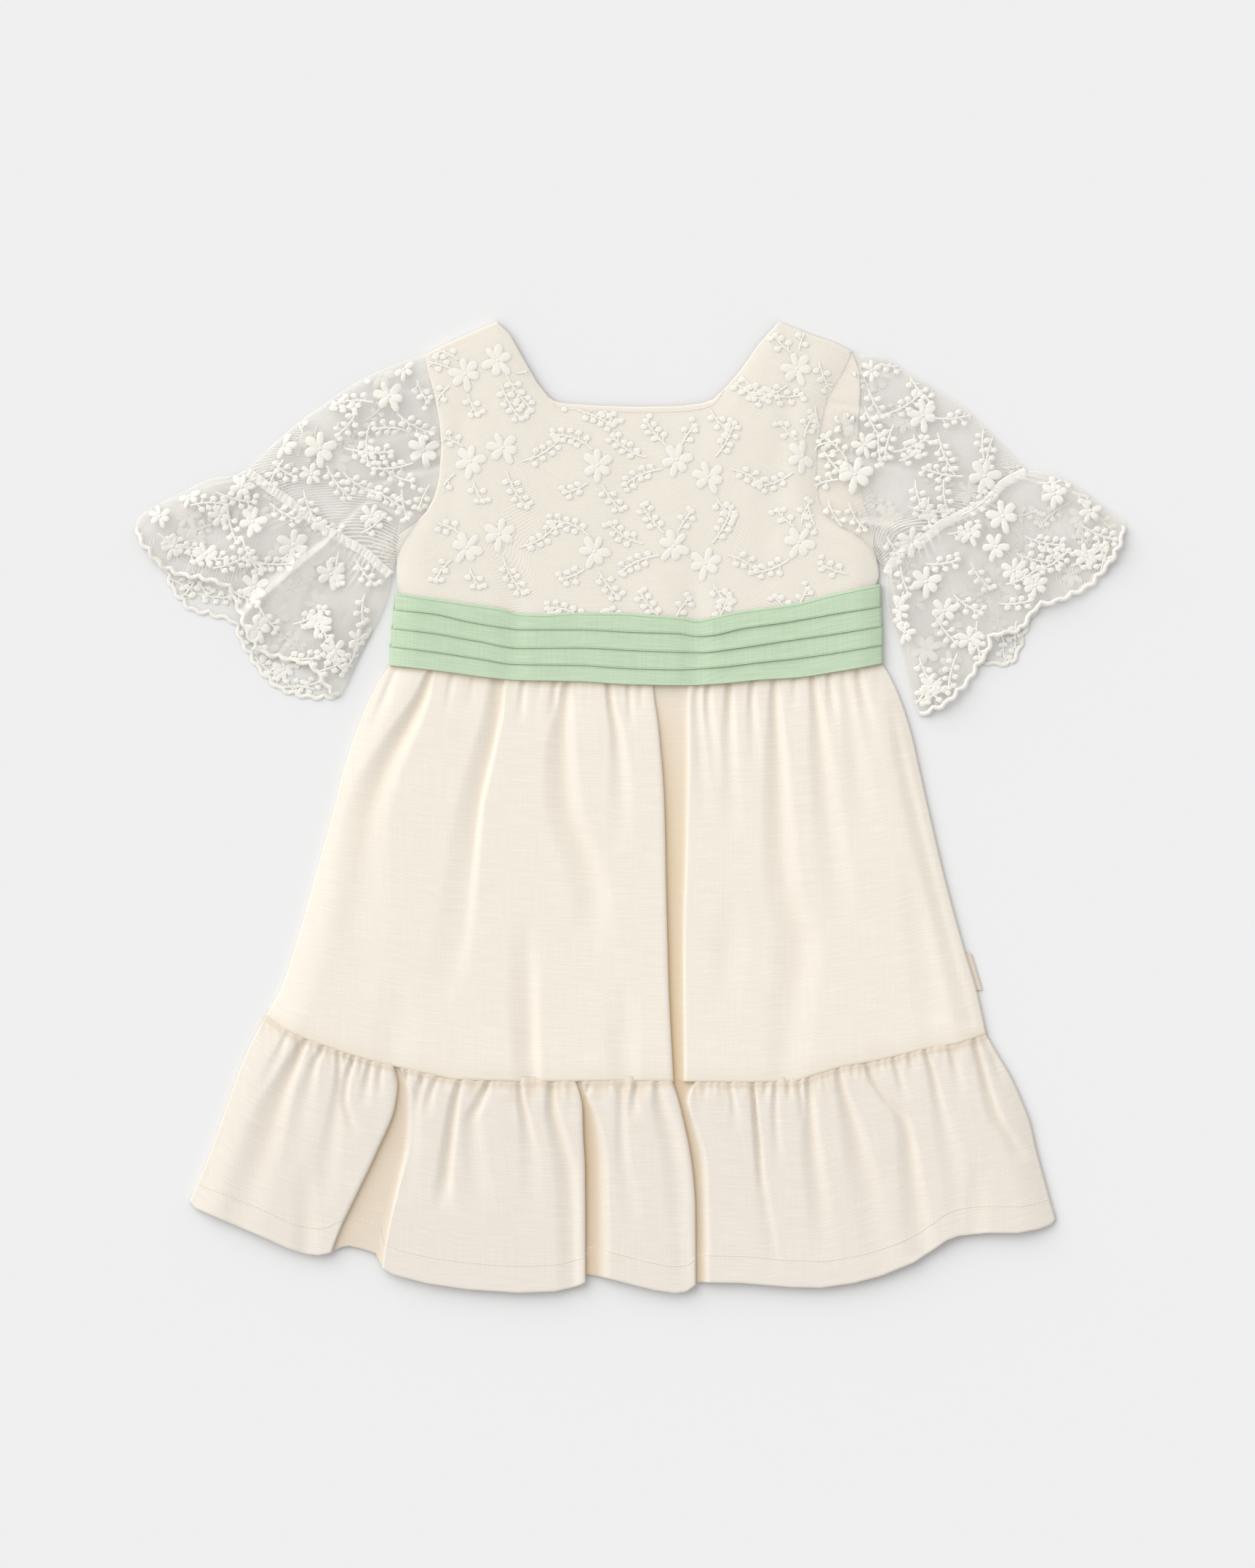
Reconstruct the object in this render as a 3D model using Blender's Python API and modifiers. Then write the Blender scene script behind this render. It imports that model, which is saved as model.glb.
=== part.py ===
"""A toddler's linen dress, laid out flat on its back.

Run it with: blender --background --python part.py

The tables are in millimetres. x runs across the dress, towards the wearer's left arm. y runs
from hem to neck. z is the height above the table that the dress lies on. x and y are measured
from the middle of the dress, so that the origin is under its centre, on the table.

Every panel starts as a plain grid. Its points are moved to the panel's shape, and Solidify
gives the cloth its thickness. A sleeve and its flounce are grids rolled into a flattened tube.
"""

import bmesh
import bpy
import numpy as np

MM = 0.001
MERGE = 1e-6

# Cloth and how it is stacked
CLOTH = 1.0
SEAM_GAP = 0.4
LAYER_GAP = 0.3
BACK_MID = CLOTH / 2
FRONT_MID = BACK_MID + CLOTH + LAYER_GAP
LACE_MID = FRONT_MID + CLOTH + LAYER_GAP
SASH_UNDER = LACE_MID + CLOTH / 2 + LAYER_GAP

# How the front stands up from its side edges
SIDE_RISE_WIDTH = 18.0
BODICE_PUFF = 2.0
BODICE_FULL_FROM = 0.35
BODICE_ROWS = (0.0, 0.1, 0.22, 0.34, 0.45, 0.54, 0.6, 0.645, 0.7, 0.8, 1.0)

# Sleeves join the bodice from the shoulders down to here
UNDERARM = 145.0
ARMHOLE_GAP = 0.9

# Front of the bodice: shoulders and neckline, from the right arm to the left arm
BODICE_TOP = (
    (-113.5, 249.0), (-100.0, 255.5), (-86.0, 262.0), (-73.5, 267.0),
    (-67.0, 260.0), (-52.0, 236.5), (-43.0, 224.0), (-37.5, 222.0), (-18.0, 220.5),
    (5.0, 220.0), (27.0, 220.5), (41.0, 222.0), (47.0, 224.5), (57.5, 237.0),
    (73.5, 258.5), (81.5, 267.0), (98.0, 261.0), (112.0, 257.0), (121.0, 251.5),
)
WAIST_SEAM = (
    (-130.0, 87.0), (-110.0, 84.5), (-70.0, 78.5), (-35.0, 77.0), (0.0, 76.0),
    (30.0, 75.5), (80.0, 79.5), (110.0, 83.5), (135.5, 88.0),
)
RIGHT_ARMHOLE = (
    (-127.0, 150.5), (-120.0, 156.0), (-113.0, 163.5), (-108.5, 172.0), (-105.5, 184.0),
    (-104.5, 198.0), (-105.5, 212.0), (-108.5, 228.0), (-112.0, 240.0), (-113.5, 249.0),
)
LEFT_ARMHOLE = (
    (133.0, 142.0), (124.0, 150.3), (114.5, 154.5), (107.5, 160.0), (103.0, 169.0),
    (101.0, 181.0), (101.5, 195.0), (103.5, 210.0), (106.5, 224.0), (112.0, 233.0),
    (117.0, 241.0), (121.0, 251.5),
)
LEFT_ARMHOLE_BACK = (
    (133.0, 142.0), (133.0, 150.0), (130.0, 159.0), (127.0, 168.0), (125.0, 180.0),
    (124.0, 195.0), (124.5, 212.0), (125.5, 228.0), (125.0, 240.0), (121.0, 251.5),
)
RIGHT_SIDE = ((-127.0, 87.0), (-127.5, 118.0), (-129.0, 124.0), (-129.0, 144.0))
LEFT_SIDE = ((133.5, 88.0), (134.2, 121.0), (136.0, 127.0), (135.5, 133.0))

# Sash: the line of its top edge, of the lower edge of each tuck, and of its own lower edge
SASH_LINES = (
    ((-130.0, 118.0), (-110.0, 114.5), (-88.0, 109.5), (-68.0, 106.5), (-30.0, 107.0),
     (0.0, 106.5), (22.0, 105.0), (36.0, 103.0), (55.0, 107.0), (85.0, 111.5),
     (115.0, 117.5), (137.0, 122.8)),
    ((-131.0, 109.0), (-110.0, 106.8), (-85.0, 102.0), (-62.0, 98.0), (-30.0, 97.5),
     (0.0, 96.5), (24.0, 96.2), (38.0, 94.0), (60.0, 98.0), (85.0, 102.0),
     (112.0, 106.2), (137.5, 110.0)),
    ((-132.0, 98.5), (-110.0, 95.8), (-85.0, 91.5), (-62.0, 88.0), (-30.0, 87.5),
     (0.0, 86.5), (24.0, 85.6), (44.0, 86.0), (62.0, 88.0), (85.0, 91.0),
     (112.0, 95.0), (138.0, 99.0)),
    ((-133.0, 89.0), (-110.0, 85.8), (-85.0, 82.0), (-62.0, 79.0), (-30.0, 78.0),
     (0.0, 77.0), (24.0, 76.5), (44.0, 77.0), (62.0, 78.5), (85.0, 81.2),
     (112.0, 84.6), (138.0, 89.0)),
    ((-133.0, 78.0), (-110.0, 76.0), (-85.0, 71.8), (-62.0, 69.8), (-30.0, 68.8),
     (0.0, 67.5), (24.0, 67.0), (44.0, 67.6), (62.0, 69.2), (85.0, 71.5),
     (112.0, 74.6), (138.0, 79.0)),
)
SASH_COLUMNS = (
    0.0, 0.006, 0.03, 0.08, 0.15, 0.22, 0.28, 0.34, 0.4, 0.46, 0.52, 0.575,
    0.61, 0.635, 0.67, 0.72, 0.78, 0.84, 0.9, 0.95, 0.97, 0.994, 1.0,
)
TUCK_LIFT = 1.3
TUCK_FULLNESS = 0.8
TUCK_OVERLAP = 0.5
SASH_EDGE_WIDTH = 1.6

# Skirt: side edges, from waist to flounce seam, and the flounce seam itself
SKIRT_RIGHT_EDGE = (
    (-130.0, 87.0), (-131.0, 79.5), (-135.5, 74.5), (-144.0, 60.0), (-152.0, 40.0),
    (-158.5, 20.0), (-163.5, 0.0), (-174.5, -40.0), (-186.0, -80.0), (-193.0, -100.0),
    (-201.0, -114.0),
)
SKIRT_LEFT_EDGE = (
    (135.5, 88.0), (136.5, 81.0), (140.5, 75.0), (147.5, 60.0), (154.0, 40.0),
    (158.5, 20.0), (163.0, 0.0), (172.5, -40.0), (183.5, -80.0), (189.5, -100.0),
    (195.0, -124.5),
)
FLOUNCE_SEAM = (
    (-201.0, -114.0), (-190.0, -122.0), (-178.0, -127.5), (-160.0, -134.0),
    (-140.0, -140.0), (-115.0, -145.5), (-98.0, -149.3), (-60.0, -150.5), (0.0, -150.0),
    (60.0, -151.0), (90.0, -150.5), (102.0, -146.5), (115.0, -142.5), (135.0, -139.0),
    (160.0, -133.0), (180.0, -129.5), (195.0, -124.5),
)
FLOUNCE_RIGHT_EDGE = (
    (-201.0, -114.5), (-208.0, -127.0), (-214.0, -140.0), (-219.0, -154.0),
    (-229.0, -182.0), (-235.0, -198.0), (-243.0, -216.0),
)
FLOUNCE_LEFT_EDGE = (
    (195.0, -125.0), (202.0, -137.0), (208.0, -147.0), (214.0, -160.0), (219.0, -173.0),
    (222.0, -186.0), (226.0, -201.0), (233.0, -226.0),
)
HEM = (
    (-243.0, -216.0), (-240.0, -221.0), (-220.0, -229.5), (-200.0, -238.0),
    (-188.0, -243.0), (-179.0, -245.5), (-170.0, -245.5), (-163.0, -243.5),
    (-157.0, -241.0), (-150.0, -241.5), (-137.8, -246.5), (-136.9, -252.5),
    (-131.0, -256.5), (-112.0, -262.0), (-90.0, -265.0), (-62.0, -266.8),
    (-42.0, -266.0), (-31.0, -263.5), (-25.5, -261.5), (-24.5, -256.5), (-12.0, -258.5),
    (0.0, -262.0), (12.0, -265.5), (22.0, -267.0), (34.5, -264.0), (35.6, -260.5),
    (60.0, -261.2), (88.0, -263.8), (104.0, -264.0), (122.0, -261.8), (138.0, -257.5),
    (155.0, -250.0), (170.0, -240.0), (180.0, -235.5), (196.0, -233.5), (212.0, -233.8),
    (224.0, -231.5), (233.0, -226.0),
)
BACK_HEM = (
    (-241.0, -214.0), (-200.0, -232.0), (-157.0, -238.5), (-110.0, -250.0),
    (-30.0, -254.0), (60.0, -258.0), (130.0, -252.0), (170.0, -236.5), (200.0, -230.0),
    (231.0, -223.5),
)

# Deep folds. Each value is given at the top, half-way down and at the bottom of the panel:
# the fold's middle, the width of its floor, of its right and left sides, its depth, and how
# far the lips on its right and left stand above the cloth around them.
SKIRT_DEEP_FOLDS = (
    dict(middle=(20.5, 23.8, 25.3), floor=(9.0, 6.5, 4.5), right=(2.0, 1.6, 1.6),
         left=(3.0, 2.6, 3.0), depth=(0.8, 3.4, 3.0), lips=(2.6, 1.2)),
)
FLOUNCE_DEEP_FOLDS = (
    dict(middle=(-127.0, -136.0, -148.0), floor=(1.5, 7.0, 19.0), right=(2.5, 1.6, 9.0),
         left=(2.5, 1.5, 1.2), depth=(2.4, 3.4, 3.0), lips=(0.6, 2.8)),
    dict(middle=(-30.0, -21.0, -19.5), floor=(1.0, 6.5, 8.5), right=(2.2, 1.4, 1.2),
         left=(2.5, 8.0, 11.0), depth=(2.2, 3.4, 3.0), lips=(2.8, 0.4)),
    dict(middle=(26.8, 37.3, 38.9), floor=(5.5, 4.5, 5.8), right=(1.6, 1.4, 1.4),
         left=(3.0, 7.0, 11.0), depth=(3.0, 3.4, 3.0), lips=(2.8, 0.4)),
)
LIP_GROWS_OVER = 0.3

# Gathers: where one starts at the panel's top edge, where it ends, its depth, and how far
# down the panel it starts and ends, as shares of the panel's length.
SKIRT_GATHERS = (
    # x top   x end  depth  from  to
    (-124.0, -147.0, 1.6, 0.00, 0.35),
    (-111.0, -142.0, 3.4, 0.00, 0.80),
    (-99.0, -108.0, 1.4, 0.00, 0.25),
    (-86.0, -93.0, 1.4, 0.00, 0.22),
    (-73.0, -101.0, 4.4, 0.00, 0.95),
    (-62.0, -67.0, 1.6, 0.00, 0.20),
    (-50.0, -57.0, 2.4, 0.55, 1.25),
    (-36.0, -40.0, 3.2, 0.00, 0.72),
    (-24.0, -25.0, 1.3, 0.00, 0.20),
    (-13.0, -7.0, 2.8, 0.00, 0.60),
    (-3.5, 0.0, 1.6, 0.00, 0.30),
    (6.0, 10.0, 2.0, 0.00, 0.42),
    (42.0, 44.0, 2.4, 0.00, 0.45),
    (53.0, 55.0, 3.0, 0.00, 0.62),
    (60.0, 62.0, 1.3, 0.00, 0.18),
    (66.5, 70.0, 2.2, 0.00, 0.32),
    (79.0, 82.0, 3.6, 0.00, 1.15),
    (89.0, 92.0, 1.3, 0.00, 0.20),
    (97.5, 103.0, 2.4, 0.00, 0.80),
    (104.5, 110.0, 1.5, 0.00, 0.22),
    (111.0, 122.0, 2.4, 0.00, 0.55),
    (120.0, 132.0, 1.6, 0.00, 0.28),
    (128.0, 142.0, 1.4, 0.00, 0.30),
)
FLOUNCE_GATHERS = (
    # x top   x end  depth  from  to
    (-190.0, -212.0, 1.2, 0.00, 0.45),
    (-178.0, -203.0, 3.2, 0.00, 0.95),
    (-169.0, -180.0, 2.0, 0.00, 0.42),
    (-161.0, -168.0, 1.6, 0.00, 0.34),
    (-153.5, -157.0, 3.0, 0.00, 0.55),
    (-148.0, -151.5, 1.4, 0.00, 0.22),
    (-143.0, -147.0, 2.0, 0.00, 0.36),
    (-136.5, -139.5, 1.5, 0.00, 0.22),
    (-119.0, -122.0, 1.6, 0.00, 0.20),
    (-113.0, -117.0, 1.4, 0.00, 0.24),
    (-106.0, -112.0, 1.8, 0.00, 0.36),
    (-94.0, -103.0, 3.2, 0.00, 0.88),
    (-86.0, -92.0, 1.2, 0.00, 0.20),
    (-79.0, -87.0, 2.5, 0.00, 0.55),
    (-70.5, -73.0, 1.4, 0.00, 0.20),
    (-62.0, -55.5, 3.0, 0.00, 0.55),
    (-53.0, -49.0, 1.2, 0.00, 0.20),
    (-44.0, -34.0, 3.2, 0.00, 1.10),
    (-21.5, -15.5, 1.6, 0.00, 0.16),
    (-12.0, -9.0, 1.4, 0.00, 0.22),
    (-5.0, -3.5, 1.4, 0.00, 0.25),
    (2.0, 1.0, 2.2, 0.00, 0.34),
    (14.5, 19.0, 2.4, 0.00, 0.75),
    (40.0, 46.0, 1.4, 0.00, 0.16),
    (47.5, 51.5, 1.3, 0.00, 0.18),
    (55.0, 57.0, 2.0, 0.00, 0.34),
    (61.5, 64.0, 1.3, 0.00, 0.18),
    (67.5, 72.0, 3.4, 0.00, 0.66),
    (73.5, 77.5, 1.2, 0.00, 0.16),
    (79.5, 82.0, 2.0, 0.00, 0.36),
    (85.5, 88.5, 1.3, 0.00, 0.20),
    (90.5, 94.0, 1.3, 0.00, 0.22),
    (96.5, 103.0, 2.6, 0.00, 0.80),
    (105.0, 110.0, 1.3, 0.00, 0.20),
    (113.0, 126.0, 3.2, 0.00, 0.85),
    (121.0, 129.5, 1.3, 0.00, 0.22),
    (128.5, 156.0, 3.0, 0.00, 1.05),
    (136.0, 148.0, 1.5, 0.00, 0.24),
    (143.5, 157.0, 1.8, 0.00, 0.34),
    (152.5, 163.0, 1.3, 0.00, 0.22),
    (162.0, 174.0, 2.6, 0.00, 0.46),
    (170.0, 180.0, 1.3, 0.00, 0.22),
    (178.0, 192.0, 1.8, 0.00, 0.36),
    (188.5, 210.0, 2.8, 0.00, 0.70),
)
GATHER_SIDE_TOP = 3.2
GATHER_SIDE_END = 8.0
GATHER_GROWS_OVER = 0.06
DEPTH_AT_SEAM = 0.3
GATHER_FADE = 0.8

# Columns between two folds: one crest where they are nearer than this, else more at this pitch
ONE_CREST_BELOW = 16.0
ONE_CREST_WIDEST = 25.6
WIDEST_PLAIN = 17.0
NARROWEST_GAP = 0.8
CREST_SHRINK = 0.9

# Height of the front's crests above its side edges, at shares of the panel's length, and the
# rows of points of each panel, as the same shares
SKIRT_CREST = ((0.0, 3.0), (0.05, 3.0), (0.2, 3.8), (1.0, 3.9))
FLOUNCE_CREST = ((0.0, 3.9), (0.5, 3.9), (1.0, 3.6))
BACK_COLUMNS = 13
SKIRT_BACK_ROWS = (0.0, 0.06, 0.16, 0.35, 0.6, 0.85, 1.0)
FLOUNCE_BACK_ROWS = (0.0, 0.3, 0.6, 1.0)
SKIRT_ROWS = (0.0, 0.045, 0.08, 0.14, 0.24, 0.38, 0.55, 0.75, 0.9, 1.0)
FLOUNCE_ROWS = (0.0, 0.1, 0.25, 0.45, 0.7, 1.0)

# Right sleeve, which lies at -x: upper edge, cuff seam and underarm
RIGHT_SLEEVE_TOP = (
    (-114.5, 249.0), (-130.0, 243.5), (-140.0, 240.0), (-150.0, 234.5), (-170.0, 221.5),
    (-190.0, 205.0), (-212.0, 185.0),
)
RIGHT_CUFF_SEAM = (
    (-212.0, 185.0), (-200.0, 175.5), (-180.0, 161.5), (-165.0, 151.0), (-148.0, 139.0),
    (-132.0, 127.0),
)
RIGHT_UNDERARM = ((-130.4, 149.5), (-130.6, 139.0), (-132.0, 127.0))
RIGHT_FLOUNCE_TOP = (
    (-212.5, 184.6), (-225.0, 181.5), (-245.0, 175.5), (-265.0, 165.0), (-272.0, 158.0),
)
RIGHT_FLOUNCE_INNER = (
    (-132.3, 126.3), (-133.6, 118.0), (-137.5, 108.5), (-148.0, 87.0), (-155.0, 70.0),
    (-160.5, 60.5),
)
RIGHT_FLOUNCE_HEM_FRONT = (
    (-272.0, 158.0), (-271.5, 149.0), (-265.0, 138.0), (-257.0, 130.5), (-248.0, 127.5),
    (-236.0, 124.0), (-225.0, 121.0), (-218.5, 112.0), (-216.5, 102.0), (-213.0, 91.5),
    (-206.5, 83.5), (-196.0, 80.0), (-184.0, 77.0), (-175.0, 72.5), (-168.0, 64.5),
    (-160.5, 60.5),
)
RIGHT_FLOUNCE_HEM_BACK = (
    (-272.0, 158.0), (-271.5, 149.0), (-264.0, 137.0), (-256.5, 128.0), (-252.5, 118.0),
    (-245.0, 111.0), (-232.0, 105.5), (-219.0, 100.5), (-214.0, 91.0), (-209.0, 81.0),
    (-203.5, 72.5), (-194.0, 66.0), (-182.0, 61.5), (-170.0, 59.8), (-160.5, 60.5),
)

# Left sleeve, which lies at +x
LEFT_SLEEVE_TOP = (
    (123.0, 250.8), (130.0, 250.2), (138.0, 248.2), (150.0, 241.0), (170.0, 229.5),
    (190.0, 214.5), (205.0, 199.5), (219.0, 185.0),
)
LEFT_CUFF_SEAM = (
    (219.0, 185.0), (200.0, 174.0), (180.0, 160.5), (160.0, 147.0), (148.0, 138.0),
    (139.0, 127.0),
)
LEFT_UNDERARM = ((136.8, 143.0), (138.0, 135.0), (139.0, 127.0))
LEFT_FLOUNCE_TOP = (
    (219.5, 184.6), (228.0, 183.8), (238.0, 180.5), (255.0, 169.5), (271.5, 157.0),
)
LEFT_FLOUNCE_INNER = (
    (139.3, 126.3), (139.8, 117.0), (141.5, 107.0), (147.5, 86.0), (153.0, 66.0),
    (158.5, 50.0),
)
LEFT_FLOUNCE_HEM_FRONT = (
    (271.5, 157.0), (271.0, 149.0), (265.5, 140.0), (260.0, 130.5), (251.0, 121.0),
    (239.0, 115.0), (226.0, 110.5), (220.5, 103.0), (216.0, 92.0), (207.0, 87.5),
    (200.5, 92.5), (196.0, 88.0), (190.5, 77.0), (183.0, 65.0), (172.0, 55.5),
    (158.5, 50.0),
)
LEFT_FLOUNCE_HEM_BACK = (
    (271.5, 157.0), (271.0, 149.0), (265.5, 140.0), (260.0, 130.5), (251.0, 121.0),
    (239.0, 115.0), (226.0, 110.0), (219.5, 101.0), (216.0, 90.0), (213.0, 80.0),
    (204.0, 76.5), (194.0, 78.0), (186.0, 68.0), (178.0, 60.5), (168.0, 53.5),
    (158.5, 50.0),
)

# Folds of the sleeve flounces, from the upper edge round to the underarm:
# share along the cuff seam, share along the hem, and the height of the cloth
RIGHT_FLUTES = (
    # seam  hem   at seam  half-way  at hem
    (0.00, 0.00, 2.6, 2.6, 2.6),
    (0.10, 0.10, 3.4, 5.2, 4.6),
    (0.24, 0.21, 2.7, 2.8, 2.6),
    (0.40, 0.36, 3.8, 5.5, 4.4),
    (0.55, 0.50, 2.8, 2.6, 2.6),
    (0.61, 0.56, 4.2, 5.7, 5.5),
    (0.76, 0.72, 2.8, 3.0, 2.6),
    (0.88, 0.87, 3.6, 5.2, 4.8),
    (1.00, 1.00, 2.6, 2.6, 2.6),
)
LEFT_FLUTES = (
    (0.00, 0.00, 2.6, 2.6, 2.6),
    (0.10, 0.09, 3.4, 5.2, 4.8),
    (0.24, 0.22, 2.8, 2.9, 2.6),
    (0.38, 0.38, 3.9, 5.6, 5.0),
    (0.50, 0.53, 2.8, 2.6, 2.6),
    (0.58, 0.60, 4.3, 5.7, 5.6),
    (0.76, 0.75, 3.0, 3.2, 2.8),
    (0.88, 0.88, 3.6, 5.2, 4.8),
    (1.00, 1.00, 2.6, 2.6, 2.6),
)
SCALLOPS = 26
SCALLOP_DEPTH = 1.8
STEPS_IN_SCALLOP = 2
FLOUNCE_TUBE_ROWS = (0.0, 0.1, 0.5, 0.93, 1.0)

# Sleeve tubes
SLEEVE_PUFF = 2.4
SLEEVE_SWELL = ((0.0, 0.25), (0.25, 0.8), (0.7, 1.0), (1.0, 0.3))
SLEEVE_FLATNESS = 0.7
SLEEVE_CREASES = 7
SLEEVE_CREASE_DEPTH = 0.8
SLEEVE_CREASE_REACH = 0.3
SLEEVE_COLUMNS = 15
SLEEVE_ROWS = (0.0, 0.12, 0.35, 0.6, 0.85, 1.0)
TUBE_TOP_MID = 2.6
TUBE_EDGE_MID = (BACK_MID + TUBE_TOP_MID) / 2
# Where a flattened tube turns over: distance in from the edge, share of the half height
TUBE_TURN = ((0.35, 0.72), (1.3, 1.0))

# Label: a folded ribbon in the left side seam
LABEL_HEIGHT = 20.0
LABEL_OUT = 3.2
LABEL_TOP = -80.5

COLOURS = {
    "linen": ((0.91, 0.87, 0.78), 0.9),
    "lace": ((0.93, 0.91, 0.85), 0.85),
    "sash": ((0.42, 0.70, 0.46), 0.9),
    "label": ((0.90, 0.84, 0.78), 0.8),
}


def clear_scene():
    for obj in list(bpy.data.objects):
        bpy.data.objects.remove(obj)


def make_material(name):
    colour, roughness = COLOURS[name]
    made = bpy.data.materials.new(name)
    made.use_nodes = True
    shader = made.node_tree.nodes["Principled BSDF"]
    shader.inputs["Base Color"].default_value = (*colour, 1.0)
    shader.inputs["Roughness"].default_value = roughness
    shader.inputs["Metallic"].default_value = 0.0
    return made


def flowing(knots, values, at):
    """A smooth curve through the values that never swings past them."""
    knots, values = np.asarray(knots, float), np.asarray(values, float)
    at = np.clip(np.asarray(at, float), knots[0], knots[-1])
    width = np.diff(knots)
    slope = np.diff(values) / width
    bend = np.zeros(len(knots))
    bend[0], bend[-1] = slope[0], slope[-1]
    for k in range(1, len(knots) - 1):
        if slope[k - 1] * slope[k] > 0:
            before, after = 2 * width[k] + width[k - 1], width[k] + 2 * width[k - 1]
            bend[k] = (before + after) / (before / slope[k - 1] + after / slope[k])
    k = np.clip(np.searchsorted(knots, at, side="right") - 1, 0, len(width) - 1)
    t = (at - knots[k]) / width[k]
    return (
        values[k] * (1 + 2 * t) * (1 - t) ** 2
        + bend[k] * width[k] * t * (1 - t) ** 2
        + values[k + 1] * t * t * (3 - 2 * t)
        + bend[k + 1] * width[k] * t * t * (t - 1)
    )


def along(outline, share):
    """Points at shares of the outline's length."""
    points = np.asarray(outline, float)
    steps = np.hypot(*np.diff(points, axis=0).T)
    knots = np.concatenate([[0.0], np.cumsum(steps)]) / steps.sum()
    return np.stack([flowing(knots, points[:, axis], share) for axis in (0, 1)], axis=-1)


def height_at(outline, x):
    """The outline's y at each x."""
    points = np.asarray(outline, float)
    return np.interp(x, points[:, 0], points[:, 1])


def coarse(outline):
    """A hidden seam, which needs few points. Both of the panels that meet there follow it."""
    x = np.linspace(outline[0][0], outline[-1][0], BACK_COLUMNS)
    return np.stack([x, height_at(outline, x)], axis=-1)


def side_rise(distance):
    """0 at a side edge, and 1 from SIDE_RISE_WIDTH inwards."""
    return np.sin(np.pi / 2 * np.clip(distance / SIDE_RISE_WIDTH, 0.0, 1.0))


def patch(top, bottom, first, last, share_down, across=None):
    """Points between four edges: top and bottom by column, first and last by row."""
    across = np.linspace(0.0, 1.0, len(top)) if across is None else across
    across = across[None, :, None]
    down = np.asarray(share_down, float)[:, None, None]
    first = np.vstack([top[:1], first[1:-1], bottom[:1]])
    last = np.vstack([top[-1:], last[1:-1], bottom[-1:]])
    ruled_down = (1 - down) * top[None] + down * bottom[None]
    ruled_across = (1 - across) * first[:, None] + across * last[:, None]
    corners = (1 - down) * ((1 - across) * top[0] + across * top[-1]) + down * (
        (1 - across) * bottom[0] + across * bottom[-1]
    )
    return ruled_down + ruled_across - corners


def grid_through(points):
    """A grid of faces through rows of points in millimetres."""
    rows, columns = points.shape[:2]
    grid = bmesh.new()
    bmesh.ops.create_grid(grid, x_segments=columns - 1, y_segments=rows - 1, size=1.0)
    for vertex in grid.verts:
        column = round((vertex.co.x + 1) / 2 * (columns - 1))
        row = round((1 - vertex.co.y) / 2 * (rows - 1))
        vertex.co = points[row, column] * MM
    return grid


def finished(name, grid, material):
    mesh = bpy.data.meshes.new(name)
    grid.to_mesh(mesh)
    grid.free()
    mesh.materials.append(material)
    mesh.shade_smooth()
    return bpy.data.objects.new(name, mesh)


def cloth(name, points, material, rolled=False):
    """A wall of cloth through the points. A rolled one closes on its first column."""
    grid = grid_through(points)
    if rolled:
        bmesh.ops.remove_doubles(grid, verts=grid.verts, dist=MERGE)
    made = finished(name, grid, material)
    thick = made.modifiers.new("cloth thickness", "SOLIDIFY")
    thick.thickness = CLOTH * MM
    thick.offset = 0.0
    return made


def lofted(name, sections, material):
    """A solid through closed sections, with flat ends."""
    grid = grid_through(np.stack(sections + sections[:1]))
    bmesh.ops.remove_doubles(grid, verts=grid.verts, dist=MERGE)
    bmesh.ops.holes_fill(grid, edges=[edge for edge in grid.edges if edge.is_boundary])
    bmesh.ops.recalc_face_normals(grid, faces=grid.faces)
    return finished(name, grid, material)


def with_height(plan, height):
    """Plan points with their height, which may be one number for all."""
    return np.concatenate([plan, np.broadcast_to(height, plan.shape[:-1])[..., None]], axis=-1)


def bodice_plan(right_edge, left_edge):
    """The bodice in plan, from its shoulders and neckline down to the waist seam."""
    top = np.asarray(BODICE_TOP)
    share = (top[:, 0] - top[0, 0]) / (top[-1, 0] - top[0, 0])
    waist_x = right_edge[0][0] + share * (left_edge[0][0] - right_edge[0][0])
    bottom = np.stack([waist_x, height_at(WAIST_SEAM, waist_x) + SEAM_GAP], axis=-1)

    def edge(outline, start, end):
        points = np.asarray(outline)
        y = start[1] + (end[1] - start[1]) * np.asarray(BODICE_ROWS)
        return np.stack([np.interp(y, points[:, 1], points[:, 0]), y], axis=-1)

    return patch(top, bottom, edge(right_edge, top[0], bottom[0]),
                 edge(left_edge, top[-1], bottom[-1]), BODICE_ROWS, share)


def bodice_height(plan, base):
    """The bodice front: level at neck and shoulders, and slightly full over the chest."""
    from_side = np.minimum(plan[..., 0] - plan[:, :1, 0], plan[:, -1:, 0] - plan[..., 0])
    fullness = flowing((0.0, BODICE_FULL_FROM, 1.0), (0.0, 1.0, 1.0), BODICE_ROWS)
    return base + BODICE_PUFF * side_rise(from_side) * fullness[:, None]


def bodice_plans():
    """The front, which runs on under the sash, and the back, which ends at the sash."""
    right = RIGHT_SIDE + RIGHT_ARMHOLE
    front = bodice_plan(right, LEFT_SIDE + LEFT_ARMHOLE)
    back = bodice_plan(right, LEFT_SIDE + LEFT_ARMHOLE_BACK)
    sash_top = height_at(coarse(SASH_LINES[0]), back[-1, :, 0]) + SEAM_GAP
    lifted = np.clip((UNDERARM - back[..., 1]) / (UNDERARM - back[-1:, :, 1]), 0.0, 1.0)
    back[..., 1] += lifted * (sash_top - back[-1:, :, 1])
    return front, back


def make_bodice(linen, lace):
    """Linen front, the lace laid over it, and the linen back."""
    front, back = bodice_plans()
    return [
        cloth("bodice_front", with_height(front, bodice_height(front, FRONT_MID)), linen),
        cloth("bodice_lace", with_height(front, bodice_height(front, LACE_MID)), lace),
        cloth("bodice_back", with_height(back, BACK_MID), linen),
    ]


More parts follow.
